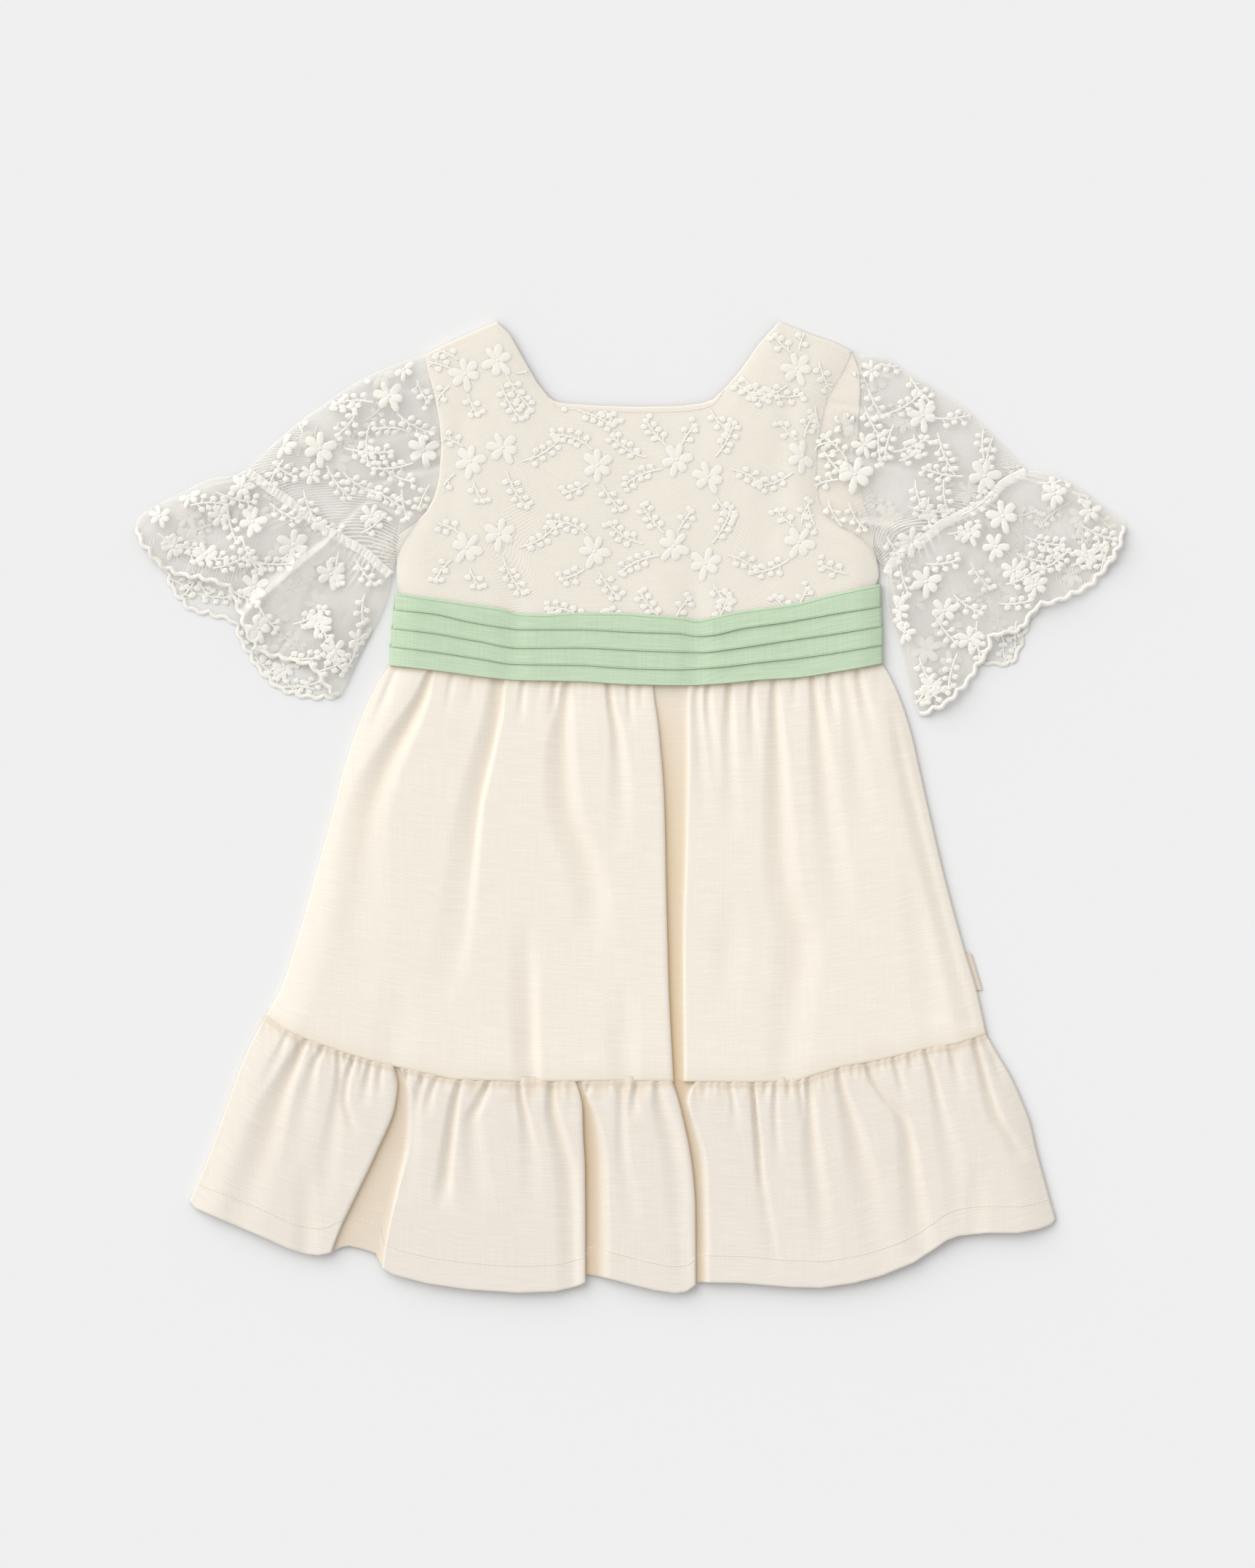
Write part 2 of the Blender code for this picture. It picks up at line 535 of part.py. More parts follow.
def make_sash(material):
    """Front: a band with four tucks that lap downwards like shingles. Back: a plain band."""
    share = np.asarray(SASH_COLUMNS)
    lines = []
    for line in SASH_LINES:
        x = line[0][0] + share * (line[-1][0] - line[0][0])
        lines.append(np.stack([x, height_at(line, x)], axis=-1))
    from_side = np.minimum(share, 1 - share) * (lines[0][-1, 0] - lines[0][0, 0])
    inside = SASH_UNDER + BODICE_PUFF * side_rise(from_side - SASH_EDGE_WIDTH)
    at_edge = FRONT_MID + CLOTH / 2 + LAYER_GAP
    under = at_edge + np.clip(from_side / SASH_EDGE_WIDTH, 0.0, 1.0) * (inside - at_edge)
    over = under + CLOTH
    sections = []
    for upper, lower in zip(lines, lines[1:]):
        sections.append(with_height(upper, over))
        sections.append(with_height((upper + lower) / 2, over + TUCK_LIFT * TUCK_FULLNESS))
        sections.append(with_height(lower + (0.0, TUCK_OVERLAP), over + TUCK_LIFT))
    sections.append(with_height(lines[-1], over))
    sections += [with_height(line, under) for line in reversed(lines[::2])]
    back = np.stack([coarse(SASH_LINES[0]), coarse(SASH_LINES[-1])])
    return [
        lofted("sash_front", sections, material),
        cloth("sash_back", with_height(back, BACK_MID), material),
    ]


def fold_at(rows, deep):
    """Middle, floor, right side, left side and depth of a deep fold at each row."""
    parts = ("middle", "floor", "right", "left", "depth")
    return [flowing((0.0, 0.5, 1.0), deep[part], rows) for part in parts]


def gather_at(rows, gather, right_edge, left_edge):
    """The same for a gather, whose middle keeps its share of the width past its end."""
    x_top, x_end, depth, start, end = gather
    width = left_edge - right_edge
    last = min(end, 1.0)
    edge_at_end = np.interp(last, rows, right_edge), np.interp(last, rows, left_edge)
    share_top = (x_top - right_edge[0]) / width[0]
    share_end = (x_end - edge_at_end[0]) / (edge_at_end[1] - edge_at_end[0])
    reach = np.clip(rows / last, 0.0, 1.0)
    middle = right_edge + (share_top + (share_end - share_top) * reach) * width
    if start == 0.0:
        grown = np.clip(DEPTH_AT_SEAM + rows / GATHER_GROWS_OVER, 0.0, 1.0)
    else:
        grown = np.clip((rows - start) / (1.0 - start), 0.0, 1.0)
    fade = np.clip((end - rows) / end, 0.0, 1.0) ** GATHER_FADE
    side = GATHER_SIDE_TOP + (GATHER_SIDE_END - GATHER_SIDE_TOP) * reach
    floor = np.zeros_like(rows)
    return [middle, floor, side, side, depth * grown * fade]


def untangled(folds, right_edge, left_edge):
    """Where a gather has faded out, its middle is spaced between the folds that are still there."""
    middles = np.stack([right_edge] + [fold[0] for _, fold in folds] + [left_edge])
    there = np.stack([fold[4] > 0.0 for _, fold in folds])
    there = np.vstack([there[:1] | True, there, there[:1] | True])
    for row in range(middles.shape[1]):
        kept = np.flatnonzero(there[:, row])
        middles[:, row] = np.interp(middles[:, 0], middles[kept, 0], middles[kept, row])
    return [(lips, [middle] + fold[1:]) for (lips, fold), middle in zip(folds, middles[1:-1])]


def panel_columns(rows, right_edge, left_edge, deep_folds, gathers):
    """x and drop below the crests for each row and column, from the right edge to the left."""
    folds = [(deep["lips"], fold_at(rows, deep)) for deep in deep_folds]
    folds += [(None, gather_at(rows, gather, right_edge, left_edge)) for gather in gathers]
    folds.sort(key=lambda fold: fold[1][0][0])
    folds = untangled(folds, right_edge, left_edge)
    level = np.zeros_like(rows)
    lip_growth = np.clip(rows / LIP_GROWS_OVER, 0.0, 1.0)
    columns = [(right_edge, level)]
    last_x, last_side, last_lip = right_edge, level + GATHER_SIDE_TOP, 0.0
    for lips, (middle, floor, right, left, depth) in folds:
        start = middle - floor / 2
        right_lip, left_lip = lips or (0.0, 0.0)
        drops = (-last_lip * lip_growth, -right_lip * lip_growth)
        columns += crests(last_x, last_side, start, right, drops, len(columns) == 1)
        columns.append((start, depth))
        if lips:
            columns.append((middle + floor / 2, depth))
        last_x, last_side, last_lip = middle + floor / 2, left, left_lip
    columns += crests(last_x, last_side, left_edge, level + GATHER_SIDE_TOP, (level, level), False)
    columns.append((left_edge, level))
    return np.stack([c[0] for c in columns], 1), np.stack([c[1] for c in columns], 1)


def crests(last_x, last_side, next_x, next_side, drops, at_edge):
    """The raised columns between two folds: one where they are close, more where it is plain."""
    gap = next_x - last_x
    if (gap < NARROWEST_GAP).any():
        raise ValueError(f"folds meet between x {last_x.min():.1f} and {next_x.max():.1f}")
    shrink = np.minimum(1.0, CREST_SHRINK * gap / (last_side + next_side))
    first, last = last_x + last_side * shrink, next_x - next_side * shrink
    if gap[0] < ONE_CREST_BELOW and gap.max() < ONE_CREST_WIDEST and not np.any(drops):
        return [((first + last) / 2, drops[0])]
    plain = max(1, int(np.ceil((last - first).max() / WIDEST_PLAIN)))
    places = [(first + (last - first) * k / plain, 0.0 * first) for k in range(plain + 1)]
    places[0], places[-1] = (first, drops[0]), (last, drops[1])
    return places[1:] if at_edge else places


def gathered_panel(rows, top, bottom, right_outline, left_outline, folds, gathers, crest):
    """A gathered front panel, as rows of points."""
    rows = np.asarray(rows, float)
    right = along(right_outline, rows)
    left = along(left_outline, rows)
    x, drop = panel_columns(rows, right[:, 0], left[:, 0], folds, gathers)
    y_top, y_bottom = height_at(top, x[0]), height_at(bottom, x[-1])
    share_x = (x - x[:, :1]) / (x[:, -1:] - x[:, :1])
    y = y_top + rows[:, None] * (y_bottom - y_top)
    y += (1 - share_x) * (right[:, 1:] - y[:, :1]) + share_x * (left[:, 1:] - y[:, -1:])
    from_side = np.minimum(x - x[:, :1], x[:, -1:] - x)
    height = flowing(*zip(*crest), rows)[:, None]
    z = FRONT_MID + np.maximum(side_rise(from_side) * height - drop, 0.0)
    return np.stack([x, y, z], axis=-1)


def skirt_back_sides():
    """The back's side edges, which start at the sash's lower corners."""
    right = (SASH_LINES[-1][0],) + SKIRT_RIGHT_EDGE[2:]
    left = (SASH_LINES[-1][-1],) + SKIRT_LEFT_EDGE[2:]
    return along(right, SKIRT_BACK_ROWS), along(left, SKIRT_BACK_ROWS)


def make_skirt(linen):
    above_seam = [(x, y + SEAM_GAP) for x, y in FLOUNCE_SEAM]
    front = gathered_panel(SKIRT_ROWS, WAIST_SEAM, above_seam, SKIRT_RIGHT_EDGE,
                           SKIRT_LEFT_EDGE, SKIRT_DEEP_FOLDS, SKIRT_GATHERS, SKIRT_CREST)
    top = coarse(SASH_LINES[-1]) - (0.0, SEAM_GAP)
    bottom = coarse(FLOUNCE_SEAM) + (0.0, SEAM_GAP)
    back = patch(top, bottom, *skirt_back_sides(), SKIRT_BACK_ROWS)
    return [
        cloth("skirt_front", front, linen),
        cloth("skirt_back", with_height(back, BACK_MID), linen),
    ]


def make_flounce(linen):
    front = gathered_panel(FLOUNCE_ROWS, FLOUNCE_SEAM, HEM, FLOUNCE_RIGHT_EDGE,
                           FLOUNCE_LEFT_EDGE, FLOUNCE_DEEP_FOLDS, FLOUNCE_GATHERS,
                           FLOUNCE_CREST)
    top, bottom = coarse(FLOUNCE_SEAM) - (0.0, SEAM_GAP), coarse(BACK_HEM)
    right = along(FLOUNCE_RIGHT_EDGE[:-1] + BACK_HEM[:1], FLOUNCE_BACK_ROWS)
    left = along(FLOUNCE_LEFT_EDGE[:-1] + BACK_HEM[-1:], FLOUNCE_BACK_ROWS)
    back = patch(top, bottom, right, left, FLOUNCE_BACK_ROWS)
    return [
        cloth("hem_flounce_front", front, linen),
        cloth("hem_flounce_back", with_height(back, BACK_MID), linen),
    ]


def rolled_tube(front, front_height, back):
    """Rings of a flattened tube: over the front, round one edge, back under it, and round the other."""
    half = (TUBE_TOP_MID - BACK_MID) / 2
    turns = []
    for inward, share in TUBE_TURN:
        turns.append((inward, TUBE_EDGE_MID + half * share, TUBE_EDGE_MID - half * share))

    def step_in(edge, towards, distance):
        away = towards - edge
        return edge + away / np.linalg.norm(away, axis=-1, keepdims=True) * distance

    inner = range(1, front.shape[1] - 1)
    start, end = front[:, 0], front[:, -1]
    ring = [with_height(start, TUBE_EDGE_MID)]
    ring += [with_height(step_in(start, front[:, 1], inward), high) for inward, high, _ in turns]
    ring += [with_height(front[:, k], front_height[:, k]) for k in inner]
    ring += [with_height(step_in(end, front[:, -2], inward), high)
             for inward, high, _ in reversed(turns)]
    ring += [with_height(end, TUBE_EDGE_MID)]
    ring += [with_height(step_in(end, back[:, -2], inward), low) for inward, _, low in turns]
    ring += [with_height(back[:, k], BACK_MID) for k in reversed(inner)]
    ring += [with_height(step_in(start, back[:, 1], inward), low)
             for inward, _, low in reversed(turns)]
    return np.stack(ring + ring[:1], axis=1)


def leftward(line):
    """At each point of a line, the direction to the left of the way that it runs."""
    run = np.gradient(line, axis=0)
    run /= np.linalg.norm(run, axis=1, keepdims=True)
    return np.stack([-run[:, 1], run[:, 0]], axis=1)


def make_sleeve(name, column, top, cuff, underarm, out, lace):
    """A net sleeve, flattened: gathered at the armhole, smooth at the cuff seam. out is 1 at +x."""
    rows = np.asarray(SLEEVE_ROWS)
    across = np.linspace(0.0, 1.0, SLEEVE_COLUMNS)
    upper, under = along(top, rows), along(underarm, rows)
    cuff_line = along(cuff, across) + (0.0, SEAM_GAP)

    def layer(bodice):
        armhole = bodice[bodice[:, column, 1] > UNDERARM, column]
        armhole = armhole + leftward(armhole) * out * ARMHOLE_GAP
        lengths = np.concatenate([[0.0], np.cumsum(np.hypot(*np.diff(armhole, axis=0).T))])
        at = np.minimum(across / across[-2], 1.0) * lengths[-1]
        start = np.stack([np.interp(at, lengths, armhole[:, k]) for k in (0, 1)], axis=-1)
        start[0], start[-1] = upper[0], under[0]
        return patch(start, cuff_line, upper, under, rows)

    front, back = (layer(bodice) for bodice in bodice_plans())
    arch = np.sin(np.pi * across)
    swell = flowing(*zip(*SLEEVE_SWELL), rows)[:, None]
    creases = np.cos(2 * np.pi * SLEEVE_CREASES * across) * arch * SLEEVE_CREASE_DEPTH
    near_armhole = np.exp(-rows / SLEEVE_CREASE_REACH)[:, None]
    height = TUBE_TOP_MID + SLEEVE_PUFF * arch**SLEEVE_FLATNESS * swell + creases * near_armhole
    ring = rolled_tube(front, np.maximum(height, TUBE_TOP_MID), back)
    return cloth(name, ring[:, ::-out], lace, rolled=True)


def scalloped(hem, share, out):
    """Points on a hem that runs from the sleeve's upper edge to its underarm, in scallops."""
    points = along(hem, share)
    bulge = SCALLOP_DEPTH * (np.abs(np.sin(np.pi * SCALLOPS * share)) - 0.5)
    away = leftward(along(hem, np.linspace(0.0, 1.0, len(share)))) * out
    return points + away * bulge[:, None]


def make_cuff_flounce(name, cuff, top, inner, hem_front, hem_back, flutes, out, lace):
    """The gathered net flounce at a sleeve's end, flattened, with a scalloped hem."""
    rows = np.asarray(FLOUNCE_TUBE_ROWS)
    across = np.linspace(0.0, 1.0, SCALLOPS * STEPS_IN_SCALLOP + 1)
    at_cuff, at_hem, *heights = np.transpose(flutes)
    cuff_line = along(cuff, flowing(at_hem, at_cuff, across)) - (0.0, SEAM_GAP)
    upper, under = along(top, rows), along(inner, rows)
    cuff_line[0], cuff_line[-1] = upper[0], under[0]

    def layer(hem):
        edge = scalloped(hem, across, out)
        edge[0], edge[-1] = upper[-1], under[-1]
        return patch(cuff_line, edge, upper, under, rows)

    profiles = [flowing(at_hem, height, across) for height in heights]
    height = np.stack([flowing((0.0, 0.5, 1.0), column, rows) for column in zip(*profiles)], axis=1)
    ring = rolled_tube(layer(hem_front), np.maximum(height, TUBE_TOP_MID), layer(hem_back))
    return cloth(name, ring[:, ::-out], lace, rolled=True)


def make_label(material):
    """A small folded ribbon that stands out of the left side seam."""
    _, seam = skirt_back_sides()
    y = LABEL_TOP - np.linspace(0.0, LABEL_HEIGHT, 3)
    x = np.interp(y, seam[::-1, 1], seam[::-1, 0]) + SEAM_GAP
    out = np.linspace(0.0, LABEL_OUT, 3)
    plan = np.stack([x[:, None] + out, np.repeat(y[:, None], 3, axis=1)], axis=-1)
    return cloth("side_label", with_height(plan, BACK_MID), material)


def main():
    clear_scene()
    materials = {name: make_material(name) for name in COLOURS}
    linen, lace = materials["linen"], materials["lace"]
    pieces = make_bodice(linen, lace)
    pieces += make_sash(materials["sash"])
    pieces += make_skirt(linen)
    pieces += make_flounce(linen)
    pieces.append(make_sleeve("sleeve_right", 0, RIGHT_SLEEVE_TOP, RIGHT_CUFF_SEAM,
                              RIGHT_UNDERARM, -1, lace))
    pieces.append(make_sleeve("sleeve_left", -1, LEFT_SLEEVE_TOP, LEFT_CUFF_SEAM,
                              LEFT_UNDERARM, 1, lace))
    pieces.append(make_cuff_flounce("cuff_flounce_right", RIGHT_CUFF_SEAM, RIGHT_FLOUNCE_TOP,
                                    RIGHT_FLOUNCE_INNER, RIGHT_FLOUNCE_HEM_FRONT,
                                    RIGHT_FLOUNCE_HEM_BACK, RIGHT_FLUTES, -1, lace))
    pieces.append(make_cuff_flounce("cuff_flounce_left", LEFT_CUFF_SEAM, LEFT_FLOUNCE_TOP,
                                    LEFT_FLOUNCE_INNER, LEFT_FLOUNCE_HEM_FRONT,
                                    LEFT_FLOUNCE_HEM_BACK, LEFT_FLUTES, 1, lace))
    pieces.append(make_label(materials["label"]))
    dress = bpy.data.collections.new("linen dress")
    bpy.context.scene.collection.children.link(dress)
    for piece in pieces:
        dress.objects.link(piece)


main()
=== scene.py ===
# %% [markdown]
# # A linen dress with net sleeves, laid out flat
# The dress lies on its back on a pale table and the camera looks straight down at it. It is made
# here piece by piece: finishes first, then skirt, hem flounce, bodice, sash, sleeves, embroidery
# and stitching. All tables are in millimetres, with x across the dress (towards the wearer's left
# arm), y from hem to neck and z up from the table.

import math

import bpy
import numpy as np
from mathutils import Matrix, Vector
from mathutils.bvhtree import BVHTree


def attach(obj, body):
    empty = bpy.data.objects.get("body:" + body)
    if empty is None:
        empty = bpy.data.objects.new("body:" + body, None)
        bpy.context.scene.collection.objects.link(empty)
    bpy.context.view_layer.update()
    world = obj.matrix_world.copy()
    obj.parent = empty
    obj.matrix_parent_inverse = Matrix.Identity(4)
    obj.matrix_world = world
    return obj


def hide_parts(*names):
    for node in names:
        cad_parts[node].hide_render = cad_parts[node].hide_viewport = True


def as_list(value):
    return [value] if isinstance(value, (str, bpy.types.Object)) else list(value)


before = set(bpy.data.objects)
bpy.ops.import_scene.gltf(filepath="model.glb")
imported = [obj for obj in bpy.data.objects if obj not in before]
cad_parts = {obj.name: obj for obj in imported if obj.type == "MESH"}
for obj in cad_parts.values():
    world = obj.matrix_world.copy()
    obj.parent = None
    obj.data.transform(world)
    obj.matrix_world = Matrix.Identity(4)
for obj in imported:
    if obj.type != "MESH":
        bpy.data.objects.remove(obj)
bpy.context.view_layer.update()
MM = 0.001

# %% [markdown]
# ## Nodes written as sums
# A finish is a graph of shader nodes, and most of those nodes do plain arithmetic. Placing and
# linking them by name hides the idea, so a small class wraps a socket and turns + - * / into
# Math nodes. `1 - mask` then reads as it would on paper. Anything else, such as a noise or a
# bump, goes through one method that takes the node's type, its settings and its inputs.


# %% A socket that takes part in sums
class Wire:
    def __init__(self, finish, socket):
        self.finish, self.socket = finish, socket

    def math(self, operation, *others):
        return self.finish.math(operation, self, *others)

    def __add__(self, other):
        return self.math("ADD", other)

    def __sub__(self, other):
        return self.math("SUBTRACT", other)

    def __rsub__(self, other):
        return self.finish.math("SUBTRACT", other, self)

    def __mul__(self, other):
        return self.math("MULTIPLY", other)

    def __truediv__(self, other):
        return self.math("DIVIDE", other)

    __radd__ = __add__
    __rmul__ = __mul__


# %% A finish: one material and the ways to add to it
class Finish:
    def __init__(self, name, roughness, sheen=0.0):
        self.material = bpy.data.materials.new(name)
        self.material.use_nodes = True
        self.tree = self.material.node_tree
        self.shader = self.tree.nodes["Principled BSDF"]
        self.shader.inputs["Roughness"].default_value = roughness
        self.shader.inputs["Specular IOR Level"].default_value = 0.25
        self.shader.inputs["Sheen Weight"].default_value = sheen
        self.shader.inputs["Sheen Roughness"].default_value = 0.6

    def node(self, kind, settings=None, inputs=None, output=0):
        made = self.tree.nodes.new(kind)
        for key, value in (settings or {}).items():
            setattr(made, key, value)
        for key, value in (inputs or {}).items():
            if isinstance(value, Wire):
                self.tree.links.new(value.socket, made.inputs[key])
            else:
                made.inputs[key].default_value = value
        return Wire(self, made.outputs[output])

    def math(self, operation, *values):
        return self.node("ShaderNodeMath", {"operation": operation}, dict(enumerate(values)))

    def blend(self, amount, first, second):
        settings = {"data_type": "RGBA", "clamp_factor": True}
        return self.node("ShaderNodeMix", settings, {0: amount, 6: first, 7: second}, 2)

    def stored(self, name, output):
        """A value that the mesh carries at each point."""
        return self.node("ShaderNodeAttribute", {"attribute_name": name}, output=output)

    def cut(self):
        """Where a point lies on the flat cut of the cloth, in mm: across, and down."""
        parts = self.node("ShaderNodeSeparateXYZ", None, {0: self.stored("cut", "Vector")})
        return parts, Wire(self, parts.socket.node.outputs[1])

    def noise(self, across, down, detail=2.0, seed=0.0):
        """Soft noise whose grain is stretched by scaling the two directions apart."""
        place = self.node("ShaderNodeCombineXYZ", None, {0: across, 1: down, 2: seed})
        return self.node("ShaderNodeTexNoise", {"noise_dimensions": "3D"},
                         {"Vector": place, "Scale": 1.0, "Detail": detail})

    def feed(self, socket, wire):
        self.tree.links.new(wire.socket, self.shader.inputs[socket])

    def raise_by(self, height, distance, strength=1.0):
        """Bump: height runs from 0 to 1 over the distance, in mm."""
        self.feed("Normal", self.node("ShaderNodeBump", None, {
            "Strength": strength, "Distance": distance * MM, "Height": height}, "Normal"))


print("finishes are made of nodes through", Finish.__name__, "and", Wire.__name__)

# %% [markdown]
# ## Linen
# Linen is a plain weave of flax thread. The thread is uneven: it swells into slubs, and these
# show as pale streaks, long ones along the weft and weaker ones along the warp. So the finish
# has three layers: a fine crossed weave for the bump, stretched noise for the slubs, and painted
# shade in the folds, a darker, warmer colour for light that bounces from cloth to cloth and takes
# on its colour. The pattern follows the `cut` that each mesh carries, so that it bends with the
# cloth. The hem flounce is a long strip cut across the cloth, and its linen is a tone darker all
# over: painted shade for the light that falls off towards the hem.

# %% The linen finish, in cream and in mint
LINEN = (0.815, 0.752, 0.655, 1.0)
LINEN_SLUB = (0.865, 0.808, 0.715, 1.0)
LINEN_SHADE_PAINT = (0.71, 0.55, 0.35, 1.0)
# painted shade: the flounce's linen, a tone darker all over, for the light that falls off towards the hem
FLOUNCE_SHADED = (0.762, 0.701, 0.617, 1.0)
FLOUNCE_SLUB_SHADED = (0.812, 0.757, 0.675, 1.0)
FLOUNCE_SHADE_PAINT = (0.66, 0.50, 0.32, 1.0)
MINT = (0.475, 0.600, 0.420, 1.0)
MINT_SLUB = (0.560, 0.675, 0.500, 1.0)
MINT_SHADE_PAINT = (0.155, 0.34, 0.13, 1.0)
THREAD_PITCH = 0.52
# grains to the mm, across the cloth and down it
WEFT_GRAIN, WARP_GRAIN, CLOUD_GRAIN = (0.055, 1.15), (1.25, 0.035), (0.02, 0.025)


def linen_finish(name, plain, slubs, shade_paint, streaks):
    made = Finish(name, 0.86, sheen=0.12)
    across, down = made.cut()
    weft = made.noise(across * WEFT_GRAIN[0], down * WEFT_GRAIN[1], 3.0, 1.0)
    warp = made.noise(across * WARP_GRAIN[0], down * WARP_GRAIN[1], 3.0, 7.0)
    cloud = made.noise(across * CLOUD_GRAIN[0], down * CLOUD_GRAIN[1], 1.0, 3.0)
    slub = (weft - 0.5) * streaks + (warp - 0.5) * (streaks * 0.55) + (cloud - 0.5) * 0.35
    colour = made.blend(slub + 0.35, plain, slubs)
    # painted shade: the colour is blended towards the shade paint where the mesh's `shade` is high
    made.feed("Base Color", made.blend(made.stored("shade", "Fac"), colour, shade_paint))
    over = (across * (math.tau / THREAD_PITCH)).math("SINE")
    under = (down * (math.tau / THREAD_PITCH)).math("SINE")
    made.raise_by(over * under * 0.12 + weft * 1.1 + warp * 0.7, 0.11, 0.55)
    return made.material


linen = linen_finish("cream linen", LINEN, LINEN_SLUB, LINEN_SHADE_PAINT, 2.4)
linen_shaded_flounce = linen_finish("cream linen shaded for the flounce", FLOUNCE_SHADED, FLOUNCE_SLUB_SHADED,
                              FLOUNCE_SHADE_PAINT, 2.4)
mint = linen_finish("mint linen", MINT, MINT_SLUB, MINT_SHADE_PAINT, 2.6)
print("linen thread pitch", THREAD_PITCH, "mm")

# %% [markdown]
# ## Net, and the thread on it
# The sleeves are bobbinet: six-sided meshes about a millimetre wide. Modelling a quarter of a
# million meshes is hopeless, and a picture of net would blur close up, so the holes are worked
# out by the material. Each point looks for the nearest centre in two interleaved grids, which
# together make the honeycomb, and is thread if it lies near the border of its cell. The same
# net, doubled in seams, has more thread to the area, so the width of the thread is a value.

# %% The net finish
NET_MESH = 1.15
HIGH = math.sqrt(3.0)


def net_finish(name, colour, thread):
    made = Finish(name, 0.8, sheen=0.1)
    across, down = made.cut()
    cells = []
    for shift in (0.0, 0.5):
        x = (across / NET_MESH + shift).math("FRACT") - 0.5
        y = ((down / (NET_MESH * HIGH) + shift).math("FRACT") - 0.5) * HIGH
        cells.append((x.math("ABSOLUTE"), y.math("ABSOLUTE")))
    borders = [x.math("MAXIMUM", x * 0.5 + y * (HIGH / 2)) for x, y in cells]
    border = borders[0].math("MINIMUM", borders[1])
    creased = made.stored("shade", "Fac")
    made.feed("Alpha", border.math("GREATER_THAN", (0.5 - thread / NET_MESH / 2) - creased * 0.09))
    made.shader.inputs["Base Color"].default_value = colour
    return made.material


net = net_finish("bobbinet", (0.93, 0.90, 0.84, 1.0), 0.21)
net_on_linen = net_finish("bobbinet over linen", (0.92, 0.91, 0.86, 1.0), 0.20)
net_gathered = net_finish("bobbinet gathered in a seam", (0.92, 0.89, 0.83, 1.0), 0.6)
print("net mesh", NET_MESH, "mm, threads 0.20 to 0.60 mm wide")

# %% [markdown]
# Satin stitch lays threads side by side across a petal, so it gleams a little and shows fine
# ribs. The mesh of each petal carries its own small `cut`, with the threads running across it.

# %% Thread finishes
def thread_finish(name, colour, shadow, pitch):
    """Ribs of thread at a pitch in mm, lighter on top than in the grooves between them: painted shade in
    the grooves.
    """
    made = Finish(name, 0.55, sheen=0.25)
    across, down = made.cut()
    lay = made.noise(across * 0.25, down * 2.2, 2.0, 5.0)
    rib = (down * (math.tau / pitch) + lay * 4.0).math("SINE") * 0.5 + 0.5
    # painted shade: the groove colour between ribs, with an uneven tone along the lay
    made.feed("Base Color", made.blend(rib * 0.7 + lay * 0.5, shadow, colour))
    made.raise_by(rib, 0.10, 0.7)
    return made.material


embroidery_thread = thread_finish("satin stitch", (0.93, 0.905, 0.845, 1.0),
                                  (0.85, 0.82, 0.74, 1.0), 0.34)
bodice_thread = thread_finish("satin stitch on the bodice", (0.93, 0.895, 0.82, 1.0),
                              (0.87, 0.83, 0.745, 1.0), 0.34)
sewing_thread = thread_finish("sewing thread", (0.88, 0.84, 0.75, 1.0),
                              (0.74, 0.68, 0.56, 1.0), 0.3)
mint_thread = thread_finish("mint sewing thread", (0.50, 0.72, 0.48, 1.0),
                            (0.36, 0.58, 0.33, 1.0), 0.3)
ribbon = thread_finish("label ribbon", (0.80, 0.70, 0.60, 1.0), (0.66, 0.52, 0.40, 1.0), 0.6)
print("threads:", embroidery_thread.name, sewing_thread.name, mint_thread.name, ribbon.name)

# %% [markdown]
# ## Cloth as rows of points
# Every panel is a grid: rows run down the cloth and columns across it. The outline is given from
# the garment, and the grid is stretched between its four edges, as a tailor would ease a
# square of cloth into a shape. Folds then only have to move points up or down. Each mesh also
# keeps its `cut`, the distance along its own rows and columns, which the finishes read.

# %% Curves and patches


def flowing(knots, values, at):
    """A smooth curve through the values that never swings past them."""
    knots, values = np.asarray(knots, float), np.asarray(values, float)
    at = np.clip(np.asarray(at, float), knots[0], knots[-1])
    width = np.diff(knots)
    slope = np.diff(values) / width
    bend = np.zeros(len(knots))
    bend[0], bend[-1] = slope[0], slope[-1]
    for k in range(1, len(knots) - 1):
        if slope[k - 1] * slope[k] > 0:
            before, after = 2 * width[k] + width[k - 1], width[k] + 2 * width[k - 1]
            bend[k] = (before + after) / (before / slope[k - 1] + after / slope[k])
    k = np.clip(np.searchsorted(knots, at, side="right") - 1, 0, len(width) - 1)
    t = (at - knots[k]) / width[k]
    return (values[k] * (1 + 2 * t) * (1 - t) ** 2 + bend[k] * width[k] * t * (1 - t) ** 2
            + values[k + 1] * t * t * (3 - 2 * t) + bend[k + 1] * width[k] * t * t * (t - 1))


def along(outline, share):
    """Points at shares of the outline's length."""
    points = np.asarray(outline, float)
    steps = np.hypot(*np.diff(points, axis=0).T)
    knots = np.concatenate([[0.0], np.cumsum(steps)]) / steps.sum()
    return np.stack([flowing(knots, points[:, axis], share) for axis in (0, 1)], axis=-1)


def height_at(outline, x):
    """The outline's y at each x, as a smooth curve."""
    points = np.asarray(outline, float)
    return flowing(points[:, 0], points[:, 1], x)


